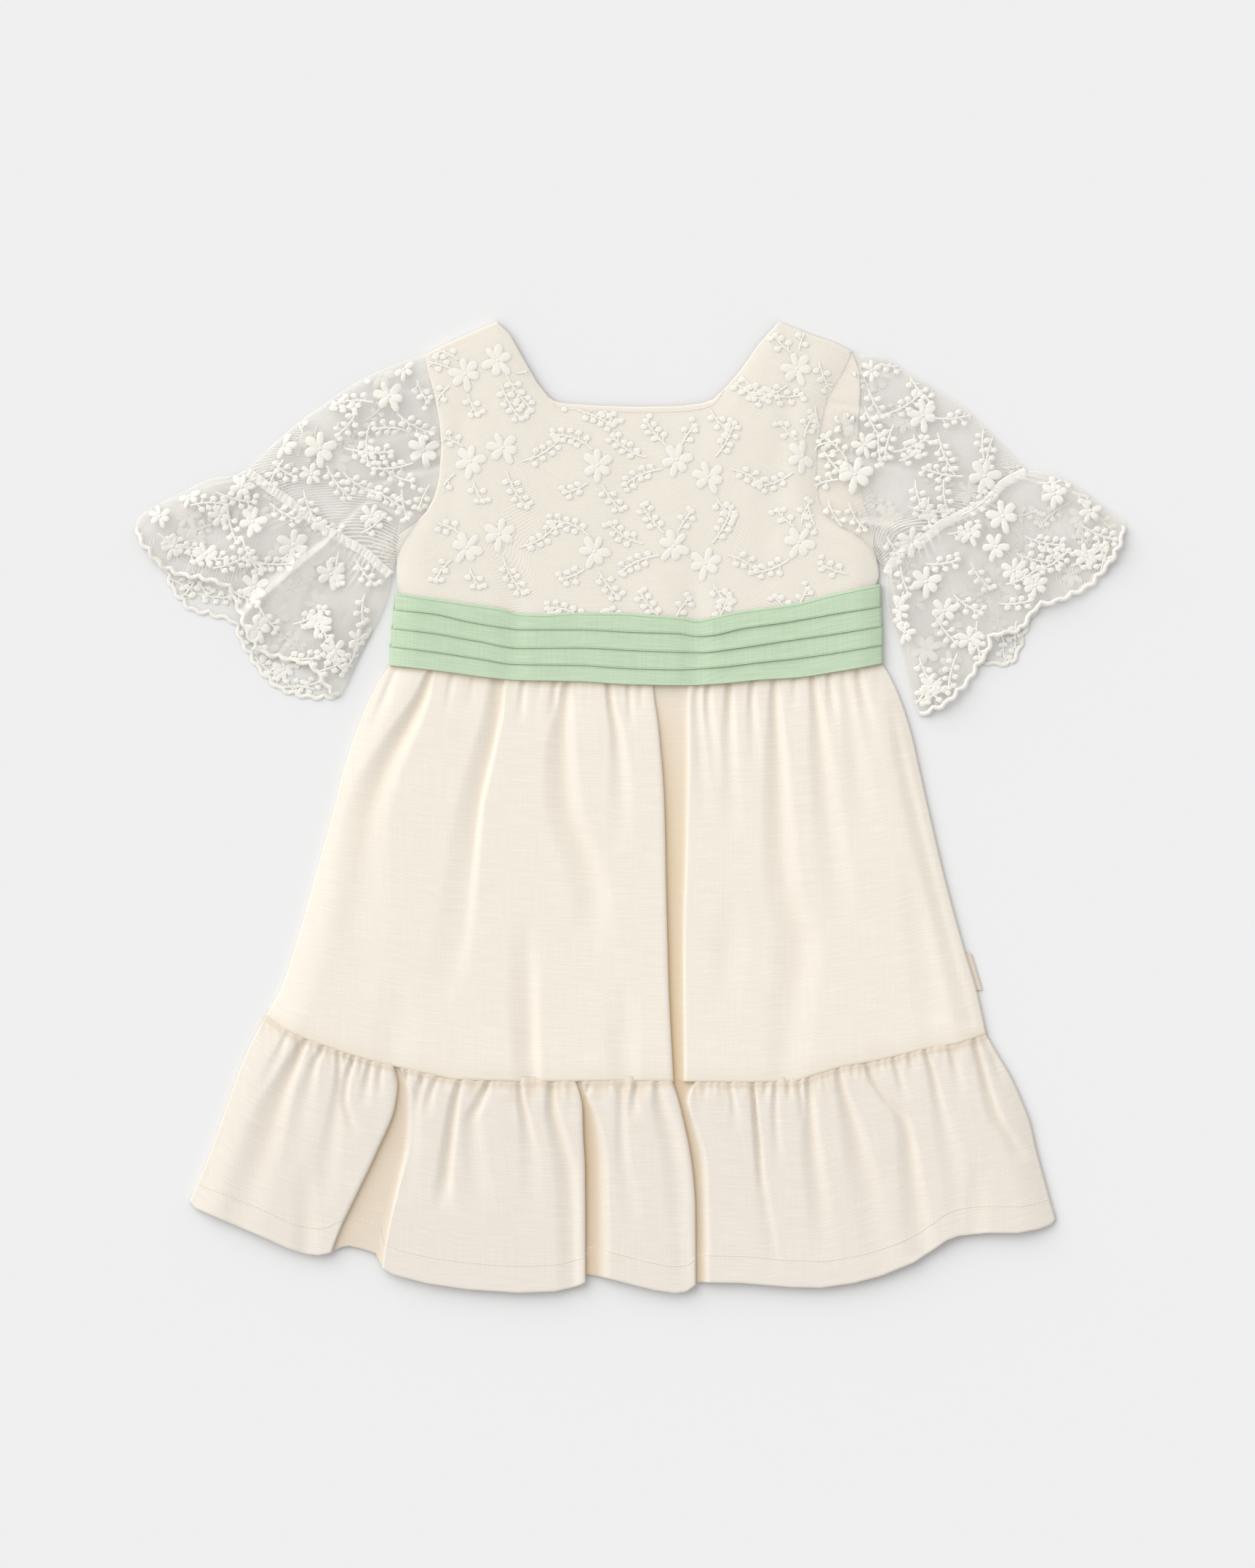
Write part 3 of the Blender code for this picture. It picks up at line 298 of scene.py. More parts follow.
def patch(top, bottom, first, last, down, across=None):
    """Points between four edges: top and bottom by column, first and last by row."""
    across = np.linspace(0.0, 1.0, len(top)) if across is None else across
    across = across[None, :, None]
    down = np.asarray(down, float)[:, None, None]
    first = np.vstack([top[:1], first[1:-1], bottom[:1]])
    last = np.vstack([top[-1:], last[1:-1], bottom[-1:]])
    corners = (1 - down) * ((1 - across) * top[0] + across * top[-1])
    corners = corners + down * ((1 - across) * bottom[0] + across * bottom[-1])
    return ((1 - down) * top[None] + down * bottom[None]
            + (1 - across) * first[:, None] + across * last[:, None] - corners)


def with_height(plan, height):
    return np.concatenate([plan, np.broadcast_to(height, plan.shape[:-1])[..., None]], axis=-1)


def smooth(low, high, value):
    """0 below low, 1 above high, and an even S between them."""
    t = np.clip((np.asarray(value, float) - low) / (high - low), 0.0, 1.0)
    return t * t * (3 - 2 * t)


def rounded(from_edge, reach, crown=0.8):
    """How far cloth has risen at a distance from its edge: 0 at the edge, 1 past the reach."""
    return np.sin(np.pi / 2 * np.clip(from_edge / reach, 0.0, 1.0)) ** crown


print("a curve through 0, 1 and 4, half way up:", float(flowing((0, 1, 2), (0, 1, 4), 1.5)))


# %% From points to a piece of the dress
def make_piece(name, corners, faces, material, cut=None, shade=None):
    """A mesh from points in mm. Each point keeps its place on the cut and its `shade`: painted shade on
    linen, closer thread on net.
    """
    mesh = bpy.data.meshes.new(name)
    mesh.from_pydata((np.asarray(corners) * MM).tolist(), [], [list(map(int, face)) for face in faces])
    mesh.materials.append(material)
    mesh.shade_smooth()
    for label, kind, values in (("cut", "FLOAT_VECTOR", cut), ("shade", "FLOAT", shade)):
        if values is not None:
            stored = mesh.attributes.new(label, kind, "POINT")
            stored.data.foreach_set("vector" if label == "cut" else "value",
                                    np.asarray(values, np.float32).ravel())
    piece = bpy.data.objects.new(name, mesh)
    bpy.context.scene.collection.objects.link(piece)
    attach(piece, "root")
    return piece


def grid_faces(rows, columns):
    start = (np.arange(rows - 1)[:, None] * columns + np.arange(columns - 1)[None]).ravel()
    return np.stack([start, start + columns, start + columns + 1, start + 1], axis=1)


def cut_of(points):
    """Distances over the cloth: along each row from its middle, and down each column."""
    across = np.linalg.norm(np.diff(points, axis=1), axis=2).cumsum(axis=1)
    across = np.concatenate([np.zeros((len(points), 1)), across], axis=1)
    across -= across[:, across.shape[1] // 2:across.shape[1] // 2 + 1]
    down = np.linalg.norm(np.diff(points, axis=0), axis=2).cumsum(axis=0)
    down = np.concatenate([np.zeros((1, points.shape[1])), down], axis=0)
    return np.stack([across, down, np.zeros_like(down)], axis=-1)


def cloth(name, points, material, shade=None, nodes=()):
    """A sheet of cloth through a grid of points."""
    rows, columns = points.shape[:2]
    piece = make_piece(name, points.reshape(-1, 3), grid_faces(rows, columns), material,
                       cut_of(points).reshape(-1, 3),
                       np.zeros(rows * columns) if shade is None else shade.ravel())
    if nodes:
        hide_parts(*nodes)
    cloth_area = sum(face.area for face in piece.data.polygons)
    print(f"{name}: {rows} x {columns} points, {cloth_area:.4f} square metres of cloth")
    return piece


# %% [markdown]
# ## Soft folds
# A gather or fold of limp linen is a trough with rounded sides. It follows its own line down the
# cloth, starts narrow at the seam, and widens and fades. So one fold is a short table: y, the x
# of its lowest line, its depth, and how far it reaches to either side. A small reach on one side
# gives the crisp edge of a crease, a wide one the slow roll of loose cloth.

# %% Troughs from tables
FINE_GATHER_PITCH = 4.2


def trough(x, y, rows):
    """How far a fold drops below the cloth round it, at points x, y."""
    rows = [row if len(row) == 5 else (*row, row[3]) for row in rows]
    at_y, middle, depth, to_left, to_right = np.asarray(rows, float)[::-1].T
    middle = flowing(at_y, middle, y)
    depth = np.interp(y, at_y, depth)
    depth = depth * smooth(at_y[0] - 6.0, at_y[0], y) * smooth(-at_y[-1] - 2.0, -at_y[-1], -y)
    reach = np.where(x < middle, np.interp(y, at_y, to_left), np.interp(y, at_y, to_right))
    near = np.clip(1.0 - np.abs(x - middle) / reach, 0.0, 1.0)
    return depth * near * near * (3 - 2 * near)


def fine_gathers(x, from_seam, depth, length, seed):
    """The small puckers that stitching leaves along a gathered seam."""
    chance = np.random.default_rng(seed)
    drop = np.zeros_like(x)
    place = x.min() + 2.0
    while place < x.max() - 2.0:
        reach = length * chance.uniform(0.35, 1.3)
        width = chance.uniform(1.1, 2.3)
        lean = chance.uniform(-0.08, 0.08)
        near = np.exp(-((x - place - lean * from_seam) / (width + from_seam * 0.06)) ** 2)
        drop += depth * chance.uniform(0.4, 1.2) * near * np.exp(-from_seam / reach)
        place += FINE_GATHER_PITCH * chance.uniform(0.6, 1.5)
    return drop


print("fine gathers about every", FINE_GATHER_PITCH, "mm along a seam")

# %% [markdown]
# ## Deep folds
# Three folds of the flounce and one of the skirt are more than troughs: the cloth on one side
# laps over and shadows a flat floor. A plain height map can't do that, because there the cloth
# passes under itself. So each deep fold brings its own columns, which run out along the lapping
# edge, turn under it, cross the floor and climb the far wall. Between folds, columns are even.

# %% A gathered panel with deep folds
TABLE_CLEAR = 1.95
# share of the way under the lap: how far sideways in mm, share of the drop
LAP_TURN = ((-3.0, 0.0), (-1.4, 0.03), (-0.5, 0.14), (0.0, 0.34), (0.05, 0.55),
            (-0.7, 0.78), (-1.5, 0.97))
WALL_CLIMB = ((0.0, 1.0), (0.18, 0.9), (0.38, 0.62), (0.62, 0.28), (0.82, 0.08), (1.0, 0.0))


def read_off(rows, y):
    table = np.asarray(rows, float)[::-1]
    return flowing(table[:, 0], table[:, 1], y)


def panel_grid(top, bottom, right_edge, left_edge, down, deep_folds, pitch):
    """Plan of a panel, with the drop of its deep folds and how much painted shade each point gets."""
    right, left = along(right_edge, down), along(left_edge, down)
    columns = []

    def even(start, end):
        count = max(2, int(round(np.abs(end - start).max() / pitch)))
        for k in range(count + 1):
            columns.append((start + (end - start) * k / count, 0.0 * start, 0.0 * start, None))

    last = right[:, 0]
    for fold in deep_folds:
        x_top, x_end = fold["lap"][0][1], fold["lap"][-1][1]
        y = height_at(top, x_top) + down * (height_at(bottom, x_end) - height_at(top, x_top))
        lap, far = read_off(fold["lap"], y), read_off(fold["far"], y)
        drop, wall = read_off(fold["depth"], y), read_off(fold["wall"], y)
        bite, fold_shade = np.clip(drop / 2.5, 0.0, 1.0), read_off(fold["fold_shade"], y)
        even(last, lap + LAP_TURN[0][0])
        columns.pop()
        # painted shade: darker, warmer colour under the lap, over the floor and up the far wall, by depth
        for sideways, share in LAP_TURN:
            under = np.clip(share * 2.0 - 0.9, 0.0, 1.0)
            columns.append((lap + sideways * (bite if share > 0.4 else 1.0), drop * share,
                            under * bite * fold_shade, lap + 0.9 if share > 0.7 else None))
        for k in range(0, 8):
            x = lap - 0.9 * bite + (far - lap + 0.9 * bite) * k / 8
            columns.append((x, drop, bite * fold_shade * (1.0 - 0.05 * k), np.maximum(x, lap + 0.9)))
        for out, share in WALL_CLIMB:
            columns.append((far + out * wall, drop * share, 0.6 * bite * fold_shade * share ** 1.5, None))
        last = far + wall
    even(last + (pitch if deep_folds else 0.0), left[:, 0])
    x = np.stack([c[0] for c in columns], 1)
    drop = np.stack([c[1] for c in columns], 1)
    shade = np.stack([c[2] for c in columns], 1)
    hem_x = np.stack([c[0] if c[3] is None else np.broadcast_to(c[3], c[0].shape)
                      for c in columns], 1)
    y_top, y_bottom = height_at(top, x[0]), np.interp(hem_x[-1], *np.transpose(bottom))
    share = (x - x[:, :1]) / (x[:, -1:] - x[:, :1])
    y = y_top + down[:, None] * (y_bottom - y_top)
    y += (1 - share) * (right[:, 1:] - y[:, :1]) + share * (left[:, 1:] - y[:, -1:])
    return x, y, drop, shade


# %% [markdown]
# Cloth has thickness only where an edge shows it. So the last rows of a panel roll under, down to
# the panel behind it, and one more column on each side goes down into the side seam.

# %% Edges that roll under, and side seams
SEAM_FLOOR = 0.35
SEAM_IN = 0.25
# y and z of each added row, from the edge
HEM_ROLL = ((-0.25, -0.3), (0.05, -0.62), (2.0, -0.7))
SEAM_ROLL = ((-0.25, -0.3), (0.1, -0.9), (0.7, -2.4))


def turned_under(points, roll):
    """Rows past the last one, which roll the edge under so that it shows its thickness."""
    rolled = np.stack([points[-1] + (0.0, y, z) for y, z in roll])
    rolled[..., 2] = np.maximum(rolled[..., 2], SEAM_FLOOR)
    return np.concatenate([points, rolled])


def from_sides(x):
    """Distance of each point of a row from the nearer end of the row."""
    return np.minimum(x - x[..., :1], x[..., -1:] - x)


def sewn_cloth(name, points, shade, material, node, slot="linen", low=SEAM_FLOOR):
    """A front panel with one more column down each side, where a seam joins it to its back."""
    right, left = points[:, :1] + (SEAM_IN, 0.0, 0.0), points[:, -1:] - (SEAM_IN, 0.0, 0.0)
    right[..., 2] = left[..., 2] = low
    return cloth(name, np.concatenate([right, points, left], axis=1), material,
                 np.pad(shade, ((0, 0), (1, 1)), "edge"), [node])


print("hems roll under by", -HEM_ROLL[-1][1], "mm")

# %% [markdown]
# ## Skirt
# A trapeze of linen, gathered into the waist seam. Gravity and the table leave three kinds of
# fold in it: the deep one right of the middle, long soft ones that run down from the waist, and
# short puckers from the gathering stitch. The front rests on the back, so all of this relief
# happens within a few millimetres.

# %% The skirt's outline
WAIST_SEAM = (
    (-130, 87), (-110, 84.5), (-70, 78.5), (-35, 77), (0, 76),
    (30, 75.5), (80, 79.5), (110, 83.5), (135.5, 88))
SKIRT_RIGHT_EDGE = (
    (-130, 87), (-131, 79.5), (-135.5, 74.5), (-144, 60), (-152, 40),
    (-158.5, 20), (-163.5, 0), (-174.5, -40), (-186, -80), (-193, -100),
    (-201, -114))
SKIRT_LEFT_EDGE = (
    (135.5, 88), (136.5, 81), (140.5, 75), (147.5, 60), (154, 40),
    (158.5, 20), (163, 0), (172.5, -40), (183.5, -80), (189.5, -100),
    (195, -124.5))
FLOUNCE_SEAM = (
    (-201, -114), (-190, -122), (-178, -127.5), (-160, -134),
    (-140, -140), (-115, -145.5), (-98, -149.3), (-60, -150.5), (0, -150),
    (60, -151), (90, -150.5), (102, -146.5), (115, -142.5), (135, -139),
    (160, -133), (180, -129.5), (195, -124.5))
print("waist seam", WAIST_SEAM[-1][0] - WAIST_SEAM[0][0], "mm wide")

# %% The skirt's folds
# For each line y, x: the lapping edge, the foot of the far wall, the drop, the wall's width, and how strong
# the painted shade in the fold is
SKIRT_DEEP_FOLDS = (
    dict(lap=((80, 11.5), (66, 12), (40, 15), (0, 18), (-45, 19), (-100, 20.5), (-150, 23)),
         far=((80, 30), (30, 30), (-25, 29), (-75, 27.5), (-150, 28)),
         depth=((80, 0.8), (60, 1.8), (25, 3.1), (-60, 3.5), (-150, 3.4)),
         wall=((80, 2.2), (0, 1.6), (-150, 1.8)),
         fold_shade=((80, 0.45), (40, 0.6), (0, 0.85), (-60, 1.05), (-150, 1.2))),
)
# y, x, depth, and the reach to the viewer's left and right, or one reach where both are alike
SKIRT_FOLDS = (
    ((76, -130, 1.2, 3), (60, -136, 1.0, 4, 5), (40, -144, 0.0, 5, 7)),
    ((76, -110, 2.6, 2.5, 2), (62, -114, 3.0, 6, 4), (48, -121, 2.8, 9, 7), (20, -136, 2.4, 14, 11),
     (-5, -145, 1.9, 15, 14), (-40, -149, 1.2, 17, 18), (-105, -152, 0.0, 20, 22)),
    ((74, -98, 1.0, 3), (50, -102, 0.0, 4)),
    ((72, -87, 0.9, 3), (52, -89, 0.0, 4)),
    ((72, -71, 3.2, 8, 1.6), (55, -72, 3.0, 10, 1.8), (35, -76, 2.7, 12, 2.2),
     (0, -84, 2.2, 14, 3), (-30, -88, 1.6, 15, 5), (-75, -94, 0.9, 17, 8), (-110, -104, 0.0, 18, 12)),
    ((72, -59, 1.4, 2.5, 2), (58, -60, 0.9, 4, 3), (46, -61, 0.0, 5, 4)),
    ((72, -50, 0.7, 2), (58, -50, 0.0, 3)),
    ((71, -42, 1.6, 2.5, 2), (60, -42, 1.2, 4, 3), (46, -43, 0.0, 6, 5)),
    ((71, -35, 2.0, 2.5), (60, -36, 2.0, 6, 5), (30, -38, 2.2, 11, 9), (0, -36, 2.0, 13, 11),
     (-30, -26, 1.7, 14, 13), (-50, -21, 1.3, 14, 12), (-80, -20, 0.0, 15, 14)),
    ((70, -13, 2.8, 2.2, 2), (58, -11.5, 2.4, 3), (40, -8, 1.6, 5), (10, -6, 0.9, 8),
     (-25, -6, 0.0, 9)),
    ((70, -2, 1.6, 2), (60, -1, 1.2, 3), (42, 0, 0.0, 4)),
    ((70, 5, 1.0, 2), (52, 6, 0.0, 3)),
    ((70, 36, 1.8, 2), (58, 36, 1.3, 4), (30, 38, 0.9, 6), (-10, 40, 0.0, 8)),
    ((70, 42, 2.2, 2, 1.8), (60, 42, 1.7, 3), (38, 44, 0.8, 6, 5), (10, 46, 0.0, 7)),
    ((70, 53.5, 2.8, 3, 1.8), (60, 54, 2.4, 4, 2.5), (40, 54, 1.3, 6, 5), (10, 55, 0.6, 7),
     (-20, 56, 0.0, 8)),
    ((71, 66, 2.0, 2.4, 2.2), (60, 66, 1.7, 3), (46, 67, 0.9, 5, 4), (20, 68, 0.0, 6)),
    ((71, 78, 2.4, 2, 2.2), (60, 78.5, 2.4, 4), (30, 80, 2.1, 8, 7), (0, 81, 1.9, 10, 9),
     (-40, 83, 1.6, 12), (-75, 92, 1.5, 16, 15), (-110, 88, 1.3, 16), (-150, 84, 0.7, 13, 15)),
    ((72, 89, 0.9, 2.5), (54, 90, 0.0, 4)),
    ((73, 99, 2.2, 2.4, 2.2), (60, 101, 1.9, 4), (30, 104, 1.6, 8), (0, 107, 1.4, 10),
     (-35, 112, 0.9, 12), (-70, 118, 0.0, 14)),
    ((74, 108, 1.8, 2.2), (60, 110, 1.1, 4), (44, 112, 0.0, 5)),
    ((75, 116, 0.9, 2.5), (58, 119, 0.7, 5), (20, 124, 0.8, 9), (-20, 130, 0.0, 12)),
    ((76, 124, 2.2, 2.4), (66, 126, 1.5, 4), (50, 130, 0.6, 6), (30, 134, 0.0, 8)),
    ((-60, -58, 0.0, 10, 8), (-95, -57, 1.4, 12, 8), (-130, -56, 1.9, 12, 7), (-150, -55, 1.5, 11, 7)),
    ((-90, -128, 0.0, 14), (-125, -130, 0.7, 14, 16), (-145, -132, 0.5, 12, 14)),
    ((-95, -4, 0.0, 10), (-125, -4, 0.9, 12), (-150, -3, 0.8, 10)),
    ((-40, 55, 0.0, 10), (-80, 54, 0.7, 12), (-120, 52, 0.0, 12)),
    ((-20, 150, 0.0, 8), (-60, 158, 0.9, 12), (-110, 165, 0.8, 14), (-130, 168, 0.4, 12)),
    ((60, 142, 0.0, 4), (30, 148, 0.9, 6, 5), (-10, 158, 1.1, 8, 5), (-60, 171, 1.2, 10, 6),
     (-118, 186, 0.8, 12, 6)),
)
print(len(SKIRT_DEEP_FOLDS), "deep and", len(SKIRT_FOLDS), "soft folds in the skirt")

# %% The skirt's front
FRONT_EDGE = 1.75
SIDE_REACH = 18.0
CLEAR_SOFTLY = 0.8
TUCKED_UNDER_SEAM = (0.0, 2.6, -0.5)
# share of the way down the panel, height of its crests over the edge
SKIRT_CREST = ((0.0, 2.6), (0.05, 2.9), (0.2, 3.9), (1.0, 4.0))


def gathered_front(name, grid, down, crest, folds, puckers, node, seam_shade,
                   extra=0.0, under_seam=False):
    """The front of skirt or flounce: crest height, less its deep, soft and fine folds, with painted shade
    in them and below the seam above.
    """
    x, y, drop, shade = grid
    total = drop + extra
    for rows in folds:
        soft = trough(x, y, rows)
        total = np.maximum(total, soft) + 0.3 * np.minimum(total, soft)
    total = total + puckers
    from_top = y[:1] - y
    if under_seam:
        total = drop + (total - drop) * (0.45 + 0.55 * smooth(0.0, 4.0, from_top))
    rise = rounded(from_sides(x), SIDE_REACH)
    z = FRONT_EDGE + rise * flowing(*zip(*crest), down)[:, None] - total * np.minimum(1.0, rise * 1.6)
    floor = TABLE_CLEAR - 0.2 * (1 - rise)
    near_floor = floor + CLEAR_SOFTLY * np.exp((z - floor - CLEAR_SOFTLY) / CLEAR_SOFTLY)
    z = np.where(z < floor + CLEAR_SOFTLY, near_floor, z)
    # painted shade: the fold colour mixed in over soft folds and puckers, and in a band just below the
    # upper seam
    shade = np.maximum(shade * 0.9, 0.22 * smooth(0.8, 3.0, total - drop))
    shade = np.maximum(shade, 0.4 * smooth(0.15, 0.9, puckers))
    shade = np.maximum(shade, 0.35 * smooth(seam_shade, 0.75 * seam_shade, from_top))
    points = turned_under(np.stack([x, y, z], axis=-1), HEM_ROLL if under_seam else SEAM_ROLL)
    if under_seam:
        points = np.concatenate([points[:1] + TUCKED_UNDER_SEAM, points])
    shade = np.pad(shade, ((int(under_seam), len(SEAM_ROLL)), (0, 0)), "edge")
    # the flounce takes the linen with painted shade all over
    return sewn_cloth(name, points, shade, linen_shaded_flounce if under_seam else linen, node)


skirt_down = np.concatenate([np.linspace(0.0, 0.22, 36)[:-1], np.linspace(0.22, 0.93, 66)[:-1],
                             np.linspace(0.93, 1.0, 12)])
skirt_grid = panel_grid(WAIST_SEAM, FLOUNCE_SEAM, SKIRT_RIGHT_EDGE, SKIRT_LEFT_EDGE,
                        skirt_down, SKIRT_DEEP_FOLDS, 1.25)
waist_puckers = fine_gathers(skirt_grid[0], skirt_grid[1][:1] - skirt_grid[1], 0.8, 13.0, 11)
seam_pull = 0.5 * smooth(0.955, 1.0, skirt_down)[:, None] * np.ones_like(skirt_grid[0])
skirt_front = gathered_front("front_of_skirt", skirt_grid, skirt_down, SKIRT_CREST, SKIRT_FOLDS,
                             waist_puckers + seam_pull, "skirt_front", 12.5)

# %% [markdown]
# ## Hem flounce
# A strip about a quarter longer than the skirt's lower edge, gathered onto it. Its folds start at
# the seam as tight pleats and open out towards the free edge, where the cloth is doubled into a hem
# 15 mm deep. Where the deep folds reach the edge, one side stands lower than the other and the
# hem shows a step.

# %% The flounce's outline
FLOUNCE_RIGHT_EDGE = (
    (-201, -114.5), (-208, -127), (-214, -140), (-219, -154),
    (-229, -182), (-235, -198), (-243, -216))
FLOUNCE_LEFT_EDGE = (
    (195, -125), (202, -137), (208, -147), (214, -160), (219, -173),
    (222, -186), (226, -201), (233, -226))
HEM = (
    (-243, -216), (-240, -220), (-220, -228.5), (-200, -237),
    (-188, -242.5), (-179, -245.3), (-172, -246), (-166, -244.8), (-160, -241.6),
    (-155, -241), (-147, -242.8), (-137.8, -246), (-137, -253),
    (-131, -256.5), (-112, -261.5), (-90, -264.7), (-62, -266.6),
    (-42, -265.8), (-31, -263.3), (-25.2, -261), (-24.8, -256.5), (-12, -258.8),
    (0, -262), (12, -265), (24, -266.8), (30, -266), (35, -262.5),
    (35.6, -260.8), (60, -261.2), (88, -263.5), (104, -263.8), (122, -261.3),
    (138, -257), (155, -250), (165, -243.5), (173, -237.8), (180, -235.3),
    (196, -233.7), (212, -233.8), (224, -231.5), (231, -229), (233, -226))
print("hem", HEM[-1][0] - HEM[0][0], "mm wide")

# %% The flounce's folds
PUCKER_WIDE = 1.5


def pucker(y, x, depth, y_end, x_end, wide=PUCKER_WIDE):
    """A short, shallow fold beside a gathering stitch, as a table of two rows."""
    return (y, x, depth, wide), (y_end, x_end, 0.0, 2 * PUCKER_WIDE)


FLOUNCE_DEEP_FOLDS = (
    dict(lap=((-140, -131), (-152, -128.5), (-165, -130), (-190, -140), (-213, -151),
              (-232, -160), (-248, -166)),
         far=((-140, -128.5), (-158, -124), (-180, -125), (-205, -130), (-230, -135), (-250, -137.8)),
         depth=((-140, 2.0), (-160, 2.8), (-190, 3.4), (-240, 3.1)),
         wall=((-140, 1.6), (-170, 5), (-205, 2.4), (-225, 1.2), (-250, 0.9)),
         fold_shade=((-140, 0.8), (-175, 0.75), (-205, 0.65), (-250, 0.5))),
    dict(lap=((-149, -31), (-157, -28.5), (-165, -27), (-180, -26.6), (-200, -25.6), (-262, -25.3)),
         far=((-149, -29), (-160, -26), (-175, -22), (-200, -20), (-262, -19)),
         depth=((-149, 1.6), (-162, 2.6), (-190, 3.3), (-262, 3.1)),
         wall=((-149, 1.6), (-170, 5), (-195, 8), (-262, 8.5)),
         fold_shade=((-149, 1.1), (-180, 1.15), (-262, 1.0))),
    dict(lap=((-150, 22.5), (-162, 26), (-175, 29), (-190, 32), (-205, 34), (-220, 35), (-264, 35.3)),
         far=((-150, 34), (-156, 31), (-162, 29.5), (-175, 32), (-200, 37), (-264, 38.5)),
         depth=((-150, 3.2), (-160, 3.0), (-190, 3.3), (-264, 2.9)),
         wall=((-150, 1.6), (-162, 2.2), (-190, 5), (-264, 5.5)),
         fold_shade=((-150, 1.1), (-180, 1.0), (-264, 0.9))),
)
